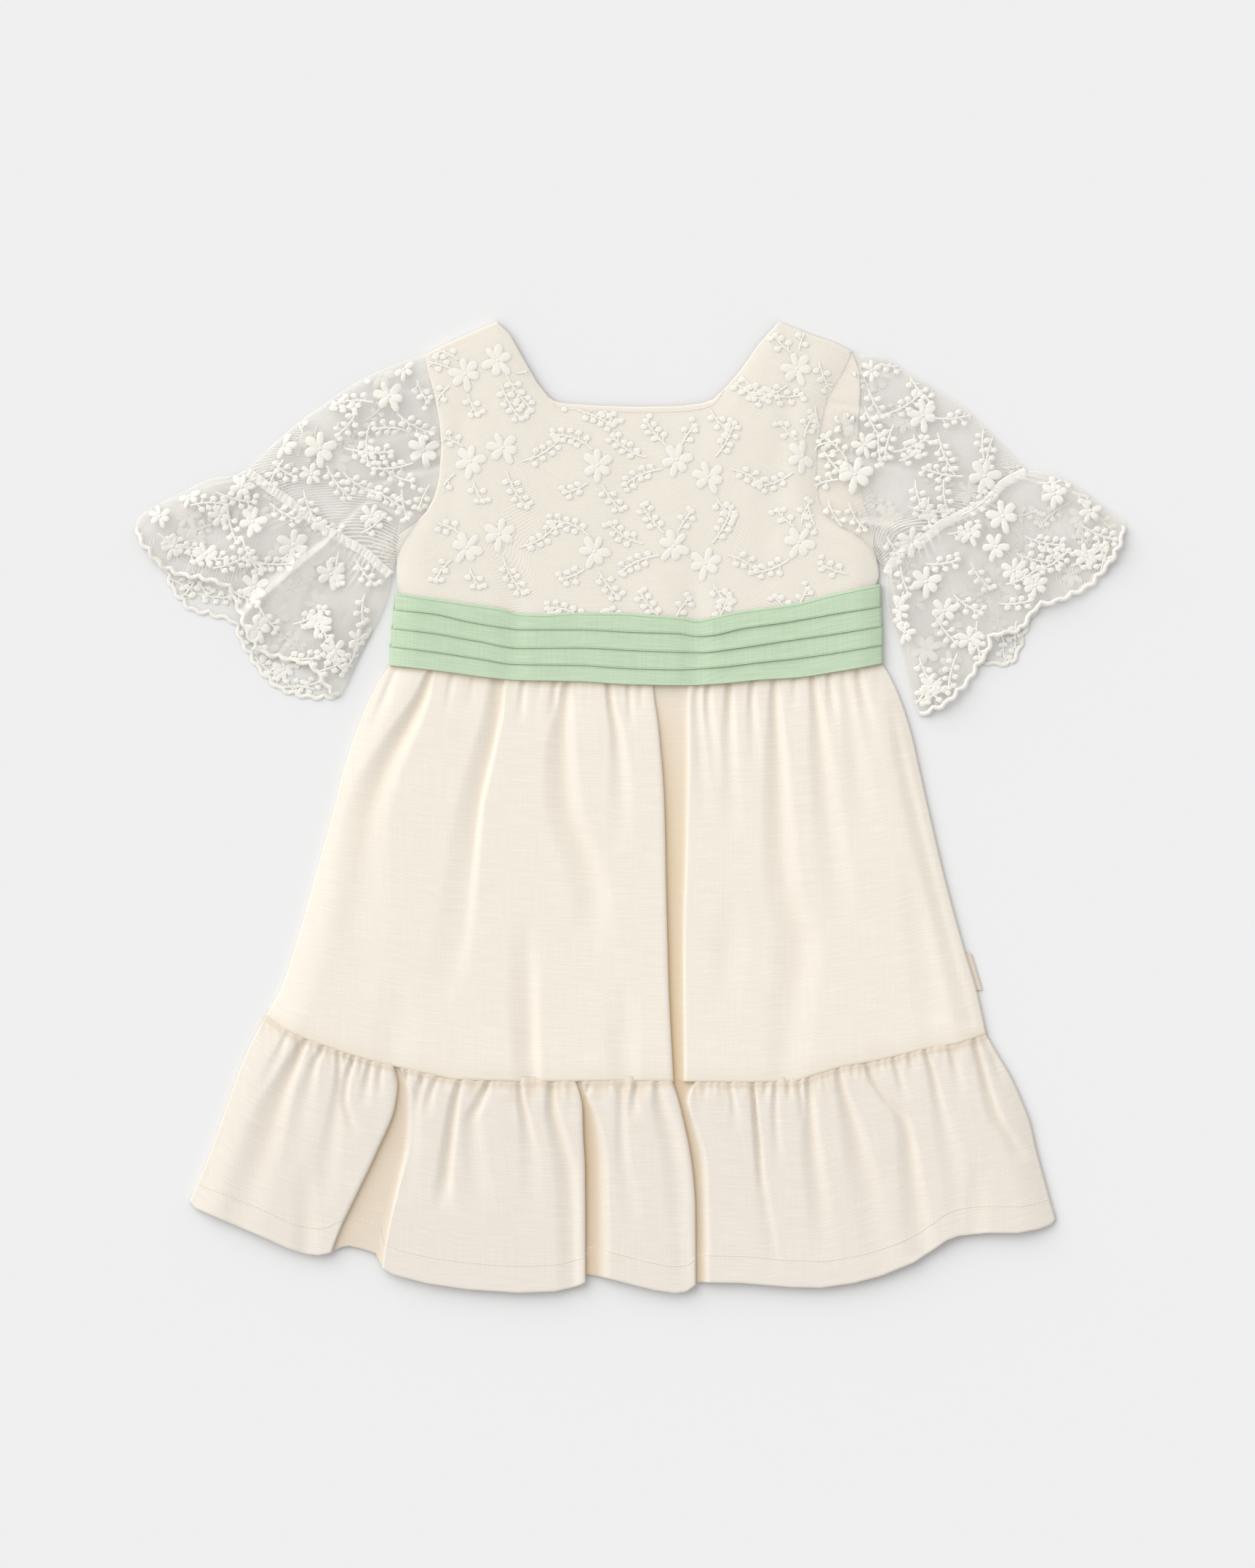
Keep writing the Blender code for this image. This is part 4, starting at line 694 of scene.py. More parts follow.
FLOUNCE_FOLDS = (
    ((-124, -189, 1.2, 2), (-140, -196, 0.8, 5, 6), (-160, -205, 0.0, 8)),
    ((-127, -178, 2.6, 4, 1.8), (-140, -184, 2.6, 8, 3), (-158, -192, 2.1, 13, 7),
     (-180, -200, 1.7, 16, 12), (-215, -212, 1.1, 17, 16), (-245, -220, 0.4, 16)),
    ((-131, -169, 2.2, 2.6, 1.6), (-142, -174, 1.4, 5, 3), (-165, -180, 0.7, 8), (-200, -186, 0.0, 10)),
    ((-133, -161, 2.0, 1.8), (-146, -160.5, 1.5, 3, 4), (-170, -163, 1.1, 6), (-205, -168, 0.5, 10, 9),
     (-235, -172, 0.0, 10)),
    pucker(-135, -157, 1.2, -150, -159),
    ((-136, -152, 2.5, 2, 1.5), (-150, -156, 2.3, 5, 2), (-161, -157, 2.0, 6, 2.2), (-171, -154, 1.4, 6, 3),
     (-180, -149, 0.0, 7, 5)),
    pucker(-138, -148, 1.2, -150, -149),
    ((-139, -143, 2.2, 2.2, 1.6), (-150, -145, 1.5, 4, 3), (-165, -147, 0.0, 5)),
    ((-140, -137, 1.8, 1.6), (-150, -138, 0.9, 3), (-160, -138, 0.0, 4)),
    ((-190, -176, 0.0, 10, 9), (-215, -178, 0.8, 10), (-246, -179, 1.0, 9)),
    ((-143, -123.5, 2.2, 1.6), (-152, -123.5, 1.4, 2.4), (-160, -123, 0.0, 4)),
    ((-145, -113, 1.9, 2, 1.5), (-153, -116, 1.2, 4, 3), (-180, -121, 0.9, 7), (-215, -124, 0.0, 9)),
    ((-147, -106, 1.9, 2.2, 1.5), (-157, -110, 1.3, 4, 3), (-172, -113, 0.0, 6)),
    pucker(-148, -102, 1.0, -156, -103),
    ((-149, -94, 2.6, 2.6, 2), (-165, -97, 2.5, 5, 3), (-185, -99.5, 2.3, 6, 3.5), (-205, -102, 1.9, 7, 5),
     (-222, -104, 0.0, 8, 7)),
    pucker(-149, -86, 0.9, -158, -87, 1.6),
    ((-150, -78, 2.5, 2.4, 1.6), (-160, -82, 1.9, 5, 3), (-173, -87.5, 1.4, 7, 6), (-195, -86, 0.9, 9),
     (-230, -84, 0.0, 12)),
    pucker(-150, -71, 1.0, -158, -71),
    ((-150, -62, 2.6, 1.8), (-162, -60, 2.2, 4, 2.2), (-175, -57, 1.6, 6, 3), (-195, -55, 0.7, 8),
     (-230, -56, 0.0, 10)),
    pucker(-150, -52, 0.8, -157, -52),
    ((-150, -44, 2.6, 3, 2), (-165, -43.5, 2.4, 5, 4), (-180, -40, 2.1, 7, 6), (-200, -35, 1.8, 9, 7),
     (-225, -33, 1.5, 10, 6), (-262, -32, 1.1, 10, 5)),
    ((-150, -22.5, 1.6, 1.5), (-158, -25, 1.4, 2), (-164, -26, 0.0, 2.5)),
    pucker(-150, -12, 1.0, -160, -12),
    ((-150, -5, 1.6, 1.8), (-160, -5.5, 1.0, 3), (-190, -5, 0.9, 6, 5), (-215, -1, 0.5, 8),
     (-240, 1, 0.0, 8)),
    ((-151, 2.5, 2.4, 1.8, 1.5), (-160, 1.5, 1.4, 3), (-172, 1, 0.0, 5)),
    ((-151, 14, 1.8, 2.5), (-163, 16, 1.9, 6), (-180, 21, 1.5, 9, 8), (-205, 25, 0.9, 9, 8),
     (-240, 27, 0.5, 8, 7), (-266, 28, 0.2, 8, 6)),
    pucker(-151, 41, 1.3, -158, 42),
    pucker(-151, 48, 1.1, -160, 50),
    ((-151, 54, 2.0, 1.8), (-162, 56, 1.1, 3), (-180, 57, 0.0, 6)),
    pucker(-151, 61, 1.2, -158, 62),
    ((-151, 67, 3.2, 2.0, 1.3), (-165, 68, 3.0, 2.6, 1.5), (-185, 70, 2.6, 3.4, 1.8),
     (-203, 71.5, 1.6, 4, 2.5), (-214, 73, 0.7, 5, 4), (-240, 78, 0.5, 8, 3), (-258, 81, 0.0, 9, 5)),
    pucker(-151, 73.5, 1.4, -160, 74),
    ((-151, 79, 2.2, 2, 1.6), (-165, 79, 1.3, 3, 2.4), (-185, 80, 0.6, 4), (-200, 81, 0.0, 5)),
    pucker(-151, 86, 1.4, -161, 87, 1.6),
    ((-150, 92, 1.8, 2), (-165, 94, 1.0, 3), (-178, 95, 0.0, 5)),
    ((-149, 97, 2.2, 2), (-165, 98, 1.9, 5, 4), (-190, 100, 1.7, 8, 6), (-215, 103, 1.2, 9, 8),
     (-250, 106, 0.0, 10)),
    pucker(-146, 105, 1.3, -158, 107, 1.6),
    ((-143, 113.5, 2.6, 2.2, 1.5), (-155, 116, 2.4, 5, 3), (-172, 121, 2.1, 8, 6), (-195, 126, 1.6, 11, 10),
     (-225, 133, 0.9, 13, 12), (-255, 138, 0.2, 12)),
    pucker(-141, 121, 1.2, -152, 123, 1.6),
    ((-140, 128, 2.3, 2, 1.6), (-150, 133, 2.1, 3.5, 2.4), (-160, 140, 2.0, 5, 3), (-170, 149, 1.8, 6, 4),
     (-185, 152.5, 1.9, 8, 5), (-210, 155, 1.6, 10, 8), (-245, 160, 1.1, 12, 11)),
    pucker(-139, 136, 1.2, -148, 138, 1.6),
    ((-137, 143.5, 2.1, 2, 1.6), (-148, 147, 1.3, 3), (-162, 151, 0.0, 5)),
    pucker(-135, 152, 1.3, -146, 155, 1.6),
    ((-133, 161, 2.5, 2, 1.6), (-146, 165.5, 2.0, 4, 2.2), (-160, 168.5, 1.4, 5, 3.5), (-190, 175, 0.8, 9),
     (-235, 182, 0.5, 10)),
    ((-131, 174, 2.0, 2), (-143, 178, 0.9, 4), (-160, 182, 0.0, 6)),
    ((-128, 188.5, 2.6, 2, 1.6), (-142, 192.5, 2.2, 4, 2.4), (-158, 197, 1.9, 6, 3), (-172, 202, 1.7, 7, 4),
     (-182, 209, 1.3, 7, 5), (-196, 216, 0.0, 8)),
    ((-126, 193, 2.0, 1.6, 1.5), (-140, 200, 1.2, 3, 2.4), (-155, 206, 0.0, 5, 4)),
    ((-195, 190, 0.0, 10), (-215, 189, 0.8, 12, 10), (-234, 188, 0.9, 10)),
)
print(len(FLOUNCE_DEEP_FOLDS), "deep and", len(FLOUNCE_FOLDS), "soft folds in the flounce")

# %% The flounce's front
FLOUNCE_CREST = ((0.0, 3.7), (0.08, 4.0), (1.0, 3.9))
HEM_DEPTH = 14.6
HEM_THICKER = 0.32

flounce_down = np.concatenate([np.linspace(0.0, 0.25, 26)[:-1], np.linspace(0.25, 0.84, 40)[:-1],
                               np.linspace(0.84, 1.0, 16)])
flounce_grid = panel_grid(FLOUNCE_SEAM, HEM, FLOUNCE_RIGHT_EDGE, FLOUNCE_LEFT_EDGE,
                          flounce_down, FLOUNCE_DEEP_FOLDS, 1.15)
from_hem = flounce_grid[1] - flounce_grid[1][-1:]
doubled = HEM_THICKER * smooth(HEM_DEPTH + 0.6, HEM_DEPTH - 0.3, from_hem)
stitched = 0.08 * np.exp(-((from_hem - HEM_DEPTH + 1.2) / 0.7) ** 2)
seam_puckers = fine_gathers(flounce_grid[0], flounce_grid[1][:1] - flounce_grid[1], 1.3, 7.5, 23)
hem_flounce = gathered_front("front_of_hem_flounce", flounce_grid, flounce_down, FLOUNCE_CREST,
                             FLOUNCE_FOLDS, seam_puckers, "hem_flounce_front", 2.6,
                             stitched - doubled, under_seam=True)

# %% [markdown]
# ## The backs of skirt and flounce
# They lie flat on the table. From below they show the same gathering along the seams as in front,
# and nine soft creases of their own, shallower, as uneven as a seeded draw makes them.

# %% Outlines of the sash and of the back's hem
SASH_TOP = (
    (-130.0, 118.0), (-110.0, 115.0), (-90.0, 112.0), (-70.0, 108.8), (-63.0, 106.6), (-50.0, 106.2),
    (-30.0, 107.0), (-10.0, 107.0), (10.0, 105.8), (28.0, 104.4), (36.0, 103.0), (45.0, 104.6),
    (55.0, 107.0), (70.0, 109.2), (90.0, 112.0), (110.0, 117.0), (137.0, 122.8))
SASH_BOTTOM = (
    (-133.0, 78.0), (-110.0, 75.5), (-80.0, 71.5), (-62.0, 69.8), (-30.0, 69.2), (0.0, 67.5),
    (30.0, 67.0), (50.0, 68.0), (70.0, 70.0), (90.0, 71.2), (112.0, 74.4), (138.0, 79.0))
BACK_HEM = (
    (-241.0, -214.0), (-200.0, -232.0), (-157.0, -238.5), (-110.0, -250.0),
    (-30.0, -254.0), (60.0, -258.0), (130.0, -252.0), (170.0, -236.5), (200.0, -230.0),
    (231.0, -223.5))


print("sash", SASH_TOP[-1][1] - SASH_BOTTOM[-1][1], "mm deep at the left seam")


# %% Skirt back and flounce back
BACK_CREASES = 9
BACK_LOW, BACK_RISE = 0.25, 1.1


def seam_points(outline, count):
    x = np.linspace(outline[0][0], outline[-1][0], count)
    return np.stack([x, height_at(outline, x)], axis=-1)


def back_panel(name, top, bottom, right_edge, left_edge, rows, columns, gather, seed, node,
               material):
    down = np.linspace(0.0, 1.0, rows)
    plan = patch(seam_points(top, columns), seam_points(bottom, columns),
                 along(right_edge, down), along(left_edge, down), down)
    x, y = plan[..., 0], plan[..., 1]
    drop = fine_gathers(x, y[:1] - y, gather, 16.0, seed)
    chance = np.random.default_rng(seed)
    for place in np.linspace(0.08, 0.92, BACK_CREASES) + chance.uniform(-0.03, 0.03, BACK_CREASES):
        lean = chance.uniform(-0.02, 0.02) * down[:, None]
        middle = x[:, :1] + (x[:, -1:] - x[:, :1]) * (place + lean)
        reach = 4.0 + 9.0 * down[:, None] * chance.uniform(0.6, 1.3)
        strength = gather * chance.uniform(0.5, 1.0) * np.exp(-down[:, None] / chance.uniform(0.3, 0.9))
        drop += strength * np.exp(-((x - middle) / reach) ** 2)
    return cloth(name, with_height(plan, BACK_LOW + np.clip(drop, 0.0, BACK_RISE)), material,
                 nodes=[node])


skirt_back = back_panel(
    "back_of_skirt", SASH_BOTTOM, FLOUNCE_SEAM, SASH_BOTTOM[:1] + SKIRT_RIGHT_EDGE[2:],
    SASH_BOTTOM[-1:] + SKIRT_LEFT_EDGE[2:], 70, 170, 0.8, 31, "skirt_back", linen)
flounce_back = back_panel(
    "back_of_hem_flounce", FLOUNCE_SEAM, BACK_HEM, FLOUNCE_RIGHT_EDGE[:-1] + BACK_HEM[:1],
    FLOUNCE_LEFT_EDGE[:-1] + BACK_HEM[-1:], 40, 200, 0.9, 37, "hem_flounce_back", linen)

# %% [markdown]
# ## Bodice
# Two layers cut alike and sewn as one: plain linen, and over it the embroidered net. The front
# is slightly full over the chest, and eases into shallow dents above the sash. The back runs
# further out at the left armhole, so it shows through the net of the sleeve there.

# %% The bodice's outline
BODICE_TOP = (
    (-113.5, 249), (-100, 255.7), (-86, 262), (-74, 267),
    (-67, 260), (-60, 247.5), (-52, 233.5), (-45.5, 225.3), (-42, 223), (-36, 221.8),
    (-18, 220.6), (5, 220), (27, 220.5), (39, 222), (45, 224.3), (53, 232),
    (60, 240.2), (70, 254.5), (81, 267), (98, 260), (112, 255.3), (121, 250.5))
RIGHT_SIDE = (
    (-127, 87), (-127.5, 118), (-129, 124), (-129, 144), (-127, 150.5),
    (-120, 155), (-113, 162), (-108.5, 170), (-105.8, 180), (-104.5, 198),
    (-105.5, 212), (-108.5, 228), (-112, 240), (-113.5, 249))
LEFT_SIDE = (
    (133.5, 88), (134.2, 121), (136, 127), (135.5, 133), (133, 142), (124, 150),
    (114.5, 154.5), (107.5, 160), (103, 169), (101.5, 181), (101.8, 195), (104, 210),
    (107.5, 225), (112, 233), (117, 241), (121, 250.5))
LEFT_SIDE_BACK = LEFT_SIDE[:5] + (
    (133, 150), (130, 159), (127, 168), (125, 180), (124, 195),
    (124.5, 212), (125.5, 228), (125, 240), (121, 250.5))
print("left side seam to shoulder", LEFT_SIDE[-1][1] - LEFT_SIDE[0][1], "mm")

# %% The bodice in plan, and how it lies
BODICE_ROWS = np.linspace(0.0, 1.0, 110)
BODICE_REACH = 16.0
BODICE_LOW, BODICE_FULL = 2.0, 2.4
BODICE_DENTS = (
    ((150, -66, 0.0, 12), (125, -65, 0.5, 14, 12), (105, -64, 0.9, 13, 11), (88, -64, 1.0, 12, 11)),
    ((150, 34, 0.0, 14, 12), (125, 34, 0.6, 14, 12), (105, 35, 1.1, 13, 10), (88, 35, 1.1, 12, 10)),
    ((240, -84, 0.0, 8), (215, -92, 0.6, 12), (170, -98, 0.5, 12), (140, -104, 0.0, 10)),
    ((215, 2, 0.0, 20), (180, 0, 0.5, 24), (130, -4, 0.5, 22), (105, -4, 0.3, 18)),
    ((248, 92, 0.0, 8), (220, 88, 0.7, 12, 10), (180, 80, 0.6, 14, 12), (130, 72, 0.4, 14),
     (110, 70, 0.0, 12)))


def bodice_plan(left_side, lower=WAIST_SEAM, step=1.9):
    top_line = np.asarray(BODICE_TOP)
    x = np.unique(np.concatenate([np.arange(top_line[0, 0], top_line[-1, 0], step), top_line[:, 0]]))
    share = (x - x[0]) / (x[-1] - x[0])
    top = np.stack([x, np.interp(x, top_line[:, 0], top_line[:, 1])], axis=-1)
    bottom_x = RIGHT_SIDE[0][0] + share * (left_side[0][0] - RIGHT_SIDE[0][0])
    bottom = np.stack([bottom_x, height_at(lower, bottom_x)], axis=-1)

    def edge(outline, start, end):
        points = np.asarray(outline)
        y = start[1] + (end[1] - start[1]) * BODICE_ROWS
        return np.stack([np.interp(y, points[:, 1], points[:, 0]), y], axis=-1)

    return patch(top, bottom, edge(RIGHT_SIDE, top[0], bottom[0]),
                 edge(left_side, top[-1], bottom[-1]), BODICE_ROWS, share)


def bodice_lie(plan):
    """Height of the bodice front over the table."""
    rise = rounded(from_sides(plan[..., 0]), BODICE_REACH)
    rise = rise + (1 - rise) * 0.72 * smooth(146.0, 162.0, plan[..., 1]) * (plan[..., 0] < 0)
    dents = sum(trough(plan[..., 0], plan[..., 1], rows) for rows in BODICE_DENTS)
    full = flowing((0.0, 0.05, 0.35, 1.0), (0.35, 0.6, 1.0, 1.0), BODICE_ROWS)[:, None]
    return BODICE_LOW + rise * full * BODICE_FULL - dents * rise


bodice_front_plan = bodice_plan(LEFT_SIDE)
bodice_back_plan = bodice_plan(LEFT_SIDE_BACK, SASH_TOP)
lie = bodice_lie(bodice_front_plan)
print(f"the bodice lies {lie.min():.1f} to {lie.max():.1f} mm over the table")

# %% The bodice's linen and net
RIGHT_NECK_POINT, LEFT_NECK_POINT = -74.0, 81.0
SHOULDER_SEAM = 0.55
NET_OVER_LINEN = 0.45
BODICE_BACK_LOW, BACK_UNDER_ARMHOLE = 0.5, 1.1

from_neck = bodice_front_plan[:1, :, 1] - bodice_front_plan[..., 1]
# painted shade: a faint band about 3 mm below the neckline
edge_shade = 0.10 * np.exp(-((from_neck - 3.0) / 1.2) ** 2)
panel = with_height(bodice_front_plan, lie)
at_shoulder = (panel[:1, :, 0] < RIGHT_NECK_POINT) | (panel[:1, :, 0] > LEFT_NECK_POINT)
top_fold = panel[:1] + (0.0, 0.1, -0.7)
top_fold[..., 2] = np.where(at_shoulder, SHOULDER_SEAM, top_fold[..., 2])
bodice_front = sewn_cloth("front_of_bodice", np.concatenate([top_fold, panel]),
                          np.concatenate([edge_shade[:1], edge_shade]), linen, "bodice_front",
                          low=SHOULDER_SEAM)
bodice_net = cloth("net_over_bodice", with_height(bodice_front_plan, lie + NET_OVER_LINEN),
                   net_on_linen, nodes=["bodice_lace"])
x, y = bodice_back_plan[..., 0], bodice_back_plan[..., 1]
under_armhole = BACK_UNDER_ARMHOLE * smooth(84.0, 98.0, x) * smooth(138.0, 156.0, y)
bodice_back = cloth("back_of_bodice", with_height(bodice_back_plan, BODICE_BACK_LOW + under_armhole),
                    linen, nodes=["bodice_back"])

# %% [markdown]
# ## Sash
# A band of mint linen with three tucks pressed downwards, so it reads as four strips that lap
# like shingles. Its section is one line: down over a strip, round the crisp fold at its lower
# edge, back up under it, and down again as the next strip. The folds stand a little open in
# places, most where the band dents to the right of the middle.

# %% The sash's tucks and section
TUCK_1 = ((-131.0, 108.4), (-110.0, 106.3), (-90.0, 101.8), (-70.0, 98.6), (-62.0, 97.6), (-30.0, 97.6),
          (0.0, 96.2), (26.0, 95.4), (36.0, 93.9), (45.0, 94.6), (60.0, 98.0), (85.0, 101.6),
          (112.0, 106.2), (137.5, 110.2))
TUCK_2 = ((-132.0, 98.2), (-110.0, 95.6), (-85.0, 91.2), (-62.0, 87.4), (-30.0, 87.6),
          (0.0, 86.2), (24.0, 85.3), (38.0, 85.0), (54.0, 86.8), (85.0, 91.4), (112.0, 95.2), (138.0, 99.4))
TUCK_3 = ((-133.0, 88.2), (-110.0, 85.4), (-85.0, 81.6), (-65.0, 78.6), (-30.0, 78.0),
          (0.0, 76.2), (24.0, 75.6), (50.0, 77.2), (70.0, 79.6), (90.0, 81.7), (112.0, 84.8), (138.0, 89.2))
SASH_LINES = (SASH_TOP, TUCK_1, TUCK_2, TUCK_3, SASH_BOTTOM)
# x, then how far the tucks' edges stand open there, in mm
TUCKS_OPEN = ((-133, 0.1), (-100, 0.35), (-75, 0.2), (-40, 0.1), (-10, 0.25), (20, 0.35), (35, 0.1),
              (48, 1.2), (75, 1.1), (100, 0.6), (125, 0.35), (138, 0.1))
# share of the way down the strip, mm above that line, lift, painted shade, and more painted shade where it
# is open
STRIP = ((0.0, 0.9, 0.15, 0.55, 0.4), (0.0, 0.2, 0.35, 0.4, 0.0), (0.0, -0.8, 0.55, 0.0, 0.0),
         (0.5, 0.0, 0.78, 0.0, 0.0), (1.0, 0.35, 1.1, 0.0, 0.0), (1.0, 0.12, 1.12, 0.0, 0.0),
         (1.0, 0.0, 0.95, 0.0, 0.0), (1.0, 0.06, 0.62, 0.0, 0.0), (1.0, 0.5, 0.34, 0.5, 0.0),
         (1.0, 2.4, 0.3, 0.5, 0.0))
print("sash: strips", len(SASH_LINES) - 1, "with", len(STRIP), "rows each")

# %% The sash
SASH_COLUMNS = 190
SASH_REACH = 15.0
SASH_LOW, SASH_FULL = 2.6, 2.75
STANDS_OPEN_ABOVE = 0.9


def sash_front_points():
    """Rows of points along the section, and how much painted shade each of them gets."""
    share = np.linspace(0.0, 1.0, SASH_COLUMNS)
    lines = []
    for line in SASH_LINES:
        x = line[0][0] + share * (line[-1][0] - line[0][0])
        lines.append(np.stack([x, height_at(line, x)], axis=-1))
    x = lines[0][:, 0]
    rise = rounded(from_sides(x), SASH_REACH)
    dents = sum(trough(x, x * 0 + 96.0, rows) for rows in BODICE_DENTS[:2])
    base = SASH_LOW + rise * SASH_FULL - dents * 0.8 + 0.15 * np.sin(x / 17.0) * rise
    opened = np.interp(x, *np.transpose(TUCKS_OPEN))
    rows, shades = [with_height(lines[0] - (0.0, 3.0), base)], [0.0 * x]
    for k, (upper, lower) in enumerate(zip(lines, lines[1:])):
        for share, above, lift, shade, more_where_open in STRIP:
            lapped = k > 0 or share > 0
            y = upper[:, 1] + share * (lower[:, 1] - upper[:, 1]) + (above if lapped else min(above, 0.0))
            stands = 0.5 * opened * (lift > STANDS_OPEN_ABOVE)
            rows.append(with_height(np.stack([upper[:, 0], y], axis=-1), base + lift + stands))
            # painted shadow under each lapping edge, darker where the tuck stands open
            shades.append((shade + more_where_open * opened) * lapped)
    return np.stack(rows), np.stack(shades)


sash_front = sewn_cloth("front_of_sash", *sash_front_points(), mint, "sash_front", "sash")
sash_back = back_panel("back_of_sash", SASH_TOP, SASH_BOTTOM, (SASH_TOP[0], SASH_BOTTOM[0]),
                       (SASH_TOP[-1], SASH_BOTTOM[-1]), 24, 120, 0.25, 41, "sash_back", mint)

# %% [markdown]
# ## Sleeves
# Each sleeve is a tube of net that has been pressed flat: one layer lies over the other, and
# they turn into each other at the upper edge and at the underarm. Here a tube is a grid whose
# columns run over the front layer and back under it. Net shows everything behind it, so the
# parts where it is folded again, at the underarm and in the flounce, get that extra layer too.

# %% A tube that is pressed flat
LAYER_LOW = 0.45


def pressed_tube(front, rise_in, front_height, back):
    """Columns over the front layer and back along the lower one, as one closed ring."""
    from_edge = np.minimum(np.linalg.norm(front - front[:, :1], axis=2),
                           np.linalg.norm(front - front[:, -1:], axis=2))
    over = with_height(front, 1.3 + rounded(from_edge, rise_in, 0.7) * front_height)
    under = with_height(back, LAYER_LOW + 0.85 * (1 - np.clip(from_edge / 1.5, 0, 1)))
    under[:, 0], under[:, -1] = over[:, 0], over[:, -1]
    return np.concatenate([over, under[:, -2::-1]], axis=1)


print("the lower layer of a tube lies", LAYER_LOW, "mm over the table")

# %% A tube of net as one piece
EXTRA_STEPS = 24
EXTRA_CUT = (37.3, 11.7, 0.0)


def tube_piece(name, ring, extra, node, dense):
    """The tube and its extra folded layers, all of them one sheet of net. dense is how closely
    the net of the front layer is creased, from 0 to 1."""
    corners, faces = [ring.reshape(-1, 3)], [grid_faces(*ring.shape[:2])]
    cuts = [cut_of(ring).reshape(-1, 3)]
    creased = np.zeros(ring.shape[:2])
    creased[:, :dense.shape[1]] = dense
    creased = np.concatenate([creased.ravel(), np.zeros(EXTRA_STEPS ** 2 * len(extra))])
    share = np.linspace(0.0, 1.0, EXTRA_STEPS)
    for height, *quad in extra:
        a, b, c, d = (np.asarray(corner, float) for corner in quad)
        top, bottom = a + share[:, None] * (b - a), c + share[:, None] * (d - c)
        bow = np.sin(np.pi * share)[:, None]
        layer = patch(top, bottom, a + share[:, None] * (c - a) + bow * (1.2, 0.8),
                      b + share[:, None] * (d - b) - bow * (1.0, 0.6), share)
        points = with_height(layer, height + 0.25 * np.sin(share * 9.0)[None, :])
        faces.append(grid_faces(EXTRA_STEPS, EXTRA_STEPS) + sum(map(len, corners)))
        corners.append(points.reshape(-1, 3))
        cuts.append(cut_of(points).reshape(-1, 3) + EXTRA_CUT)
    piece = make_piece(name, np.concatenate(corners), np.concatenate(faces), net,
                       np.concatenate(cuts), creased)
    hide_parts(node)
    print(f"{name}: {sum(face.area for face in piece.data.polygons):.4f} square metres of net")
    return piece


# %% The height of a piece at a place
ABOVE_ALL, BELOW_ALL = 40.0, -20.0


def surface_under(piece, lowest=False):
    """Finds the height of a piece at x, y, seen from above or from below."""
    mesh = piece.data
    tree = BVHTree.FromPolygons([v.co / MM for v in mesh.vertices],
                                [tuple(f.vertices) for f in mesh.polygons])
    start, way = (BELOW_ALL, 1.0) if lowest else (ABOVE_ALL, -1.0)

    def height(x, y):
        place = tree.ray_cast(Vector((x, y, start)), Vector((0.0, 0.0, way)))[0]
        return None if place is None else place.z

    return height


# %% Outlines of the sleeves
RIGHT_SLEEVE = dict(
    top=((-114.0, 249.0), (-120.0, 247.3), (-130.0, 243.5), (-140.0, 239.5), (-150.0, 234.3),
         (-160.0, 228.2), (-170.0, 221.0), (-180.0, 214.2), (-190.0, 206.0), (-200.0, 197.0),
         (-212.0, 185.2)),
    cuff=((-212.0, 185.2), (-200.0, 176.5), (-190.0, 169.0), (-180.0, 161.0), (-170.0, 153.5),
          (-160.0, 148.0), (-148.0, 141.5), (-135.0, 130.0), (-131.5, 126.5)),
    underarm=((-129.8, 148.5), (-130.2, 139.0), (-131.5, 126.5)),
    armhole=RIGHT_SIDE[4:], armhole_back=RIGHT_SIDE[4:], out=-1,
    creases=(
        ((-104, 208, 1.0, 3, 3), (-120, 206, 1.3, 5, 4), (-145, 201, 1.0, 8, 5), (-175, 192, 0.0, 10, 8)),
        ((-106, 186, 1.0, 3, 3), (-125, 183, 1.2, 6, 5), (-150, 172, 0.9, 8, 6), (-176, 160, 0.0, 9, 8)),
        ((-112, 228, 0.9, 3, 3), (-130, 229, 1.0, 5, 5), (-155, 222, 0.6, 8, 7), (-180, 208, 0.0, 9, 8)),
        ((-106, 196, 0.8, 2, 2), (-118, 194, 0.9, 4, 3), (-135, 190, 0.0, 5, 5)),
        ((-116, 160, 0.8, 3, 3), (-130, 163, 1.2, 4, 3), (-143, 168, 1.4, 2, 4), (-160, 155, 1.2, 2, 5),
         (-170, 150, 0.0, 3, 6))),
    extra=((1.5, (-144, 170), (-128, 163), (-161, 152), (-131.5, 131)),
           (1.9, (-128, 166), (-118, 158), (-131, 136), (-130.5, 138))))
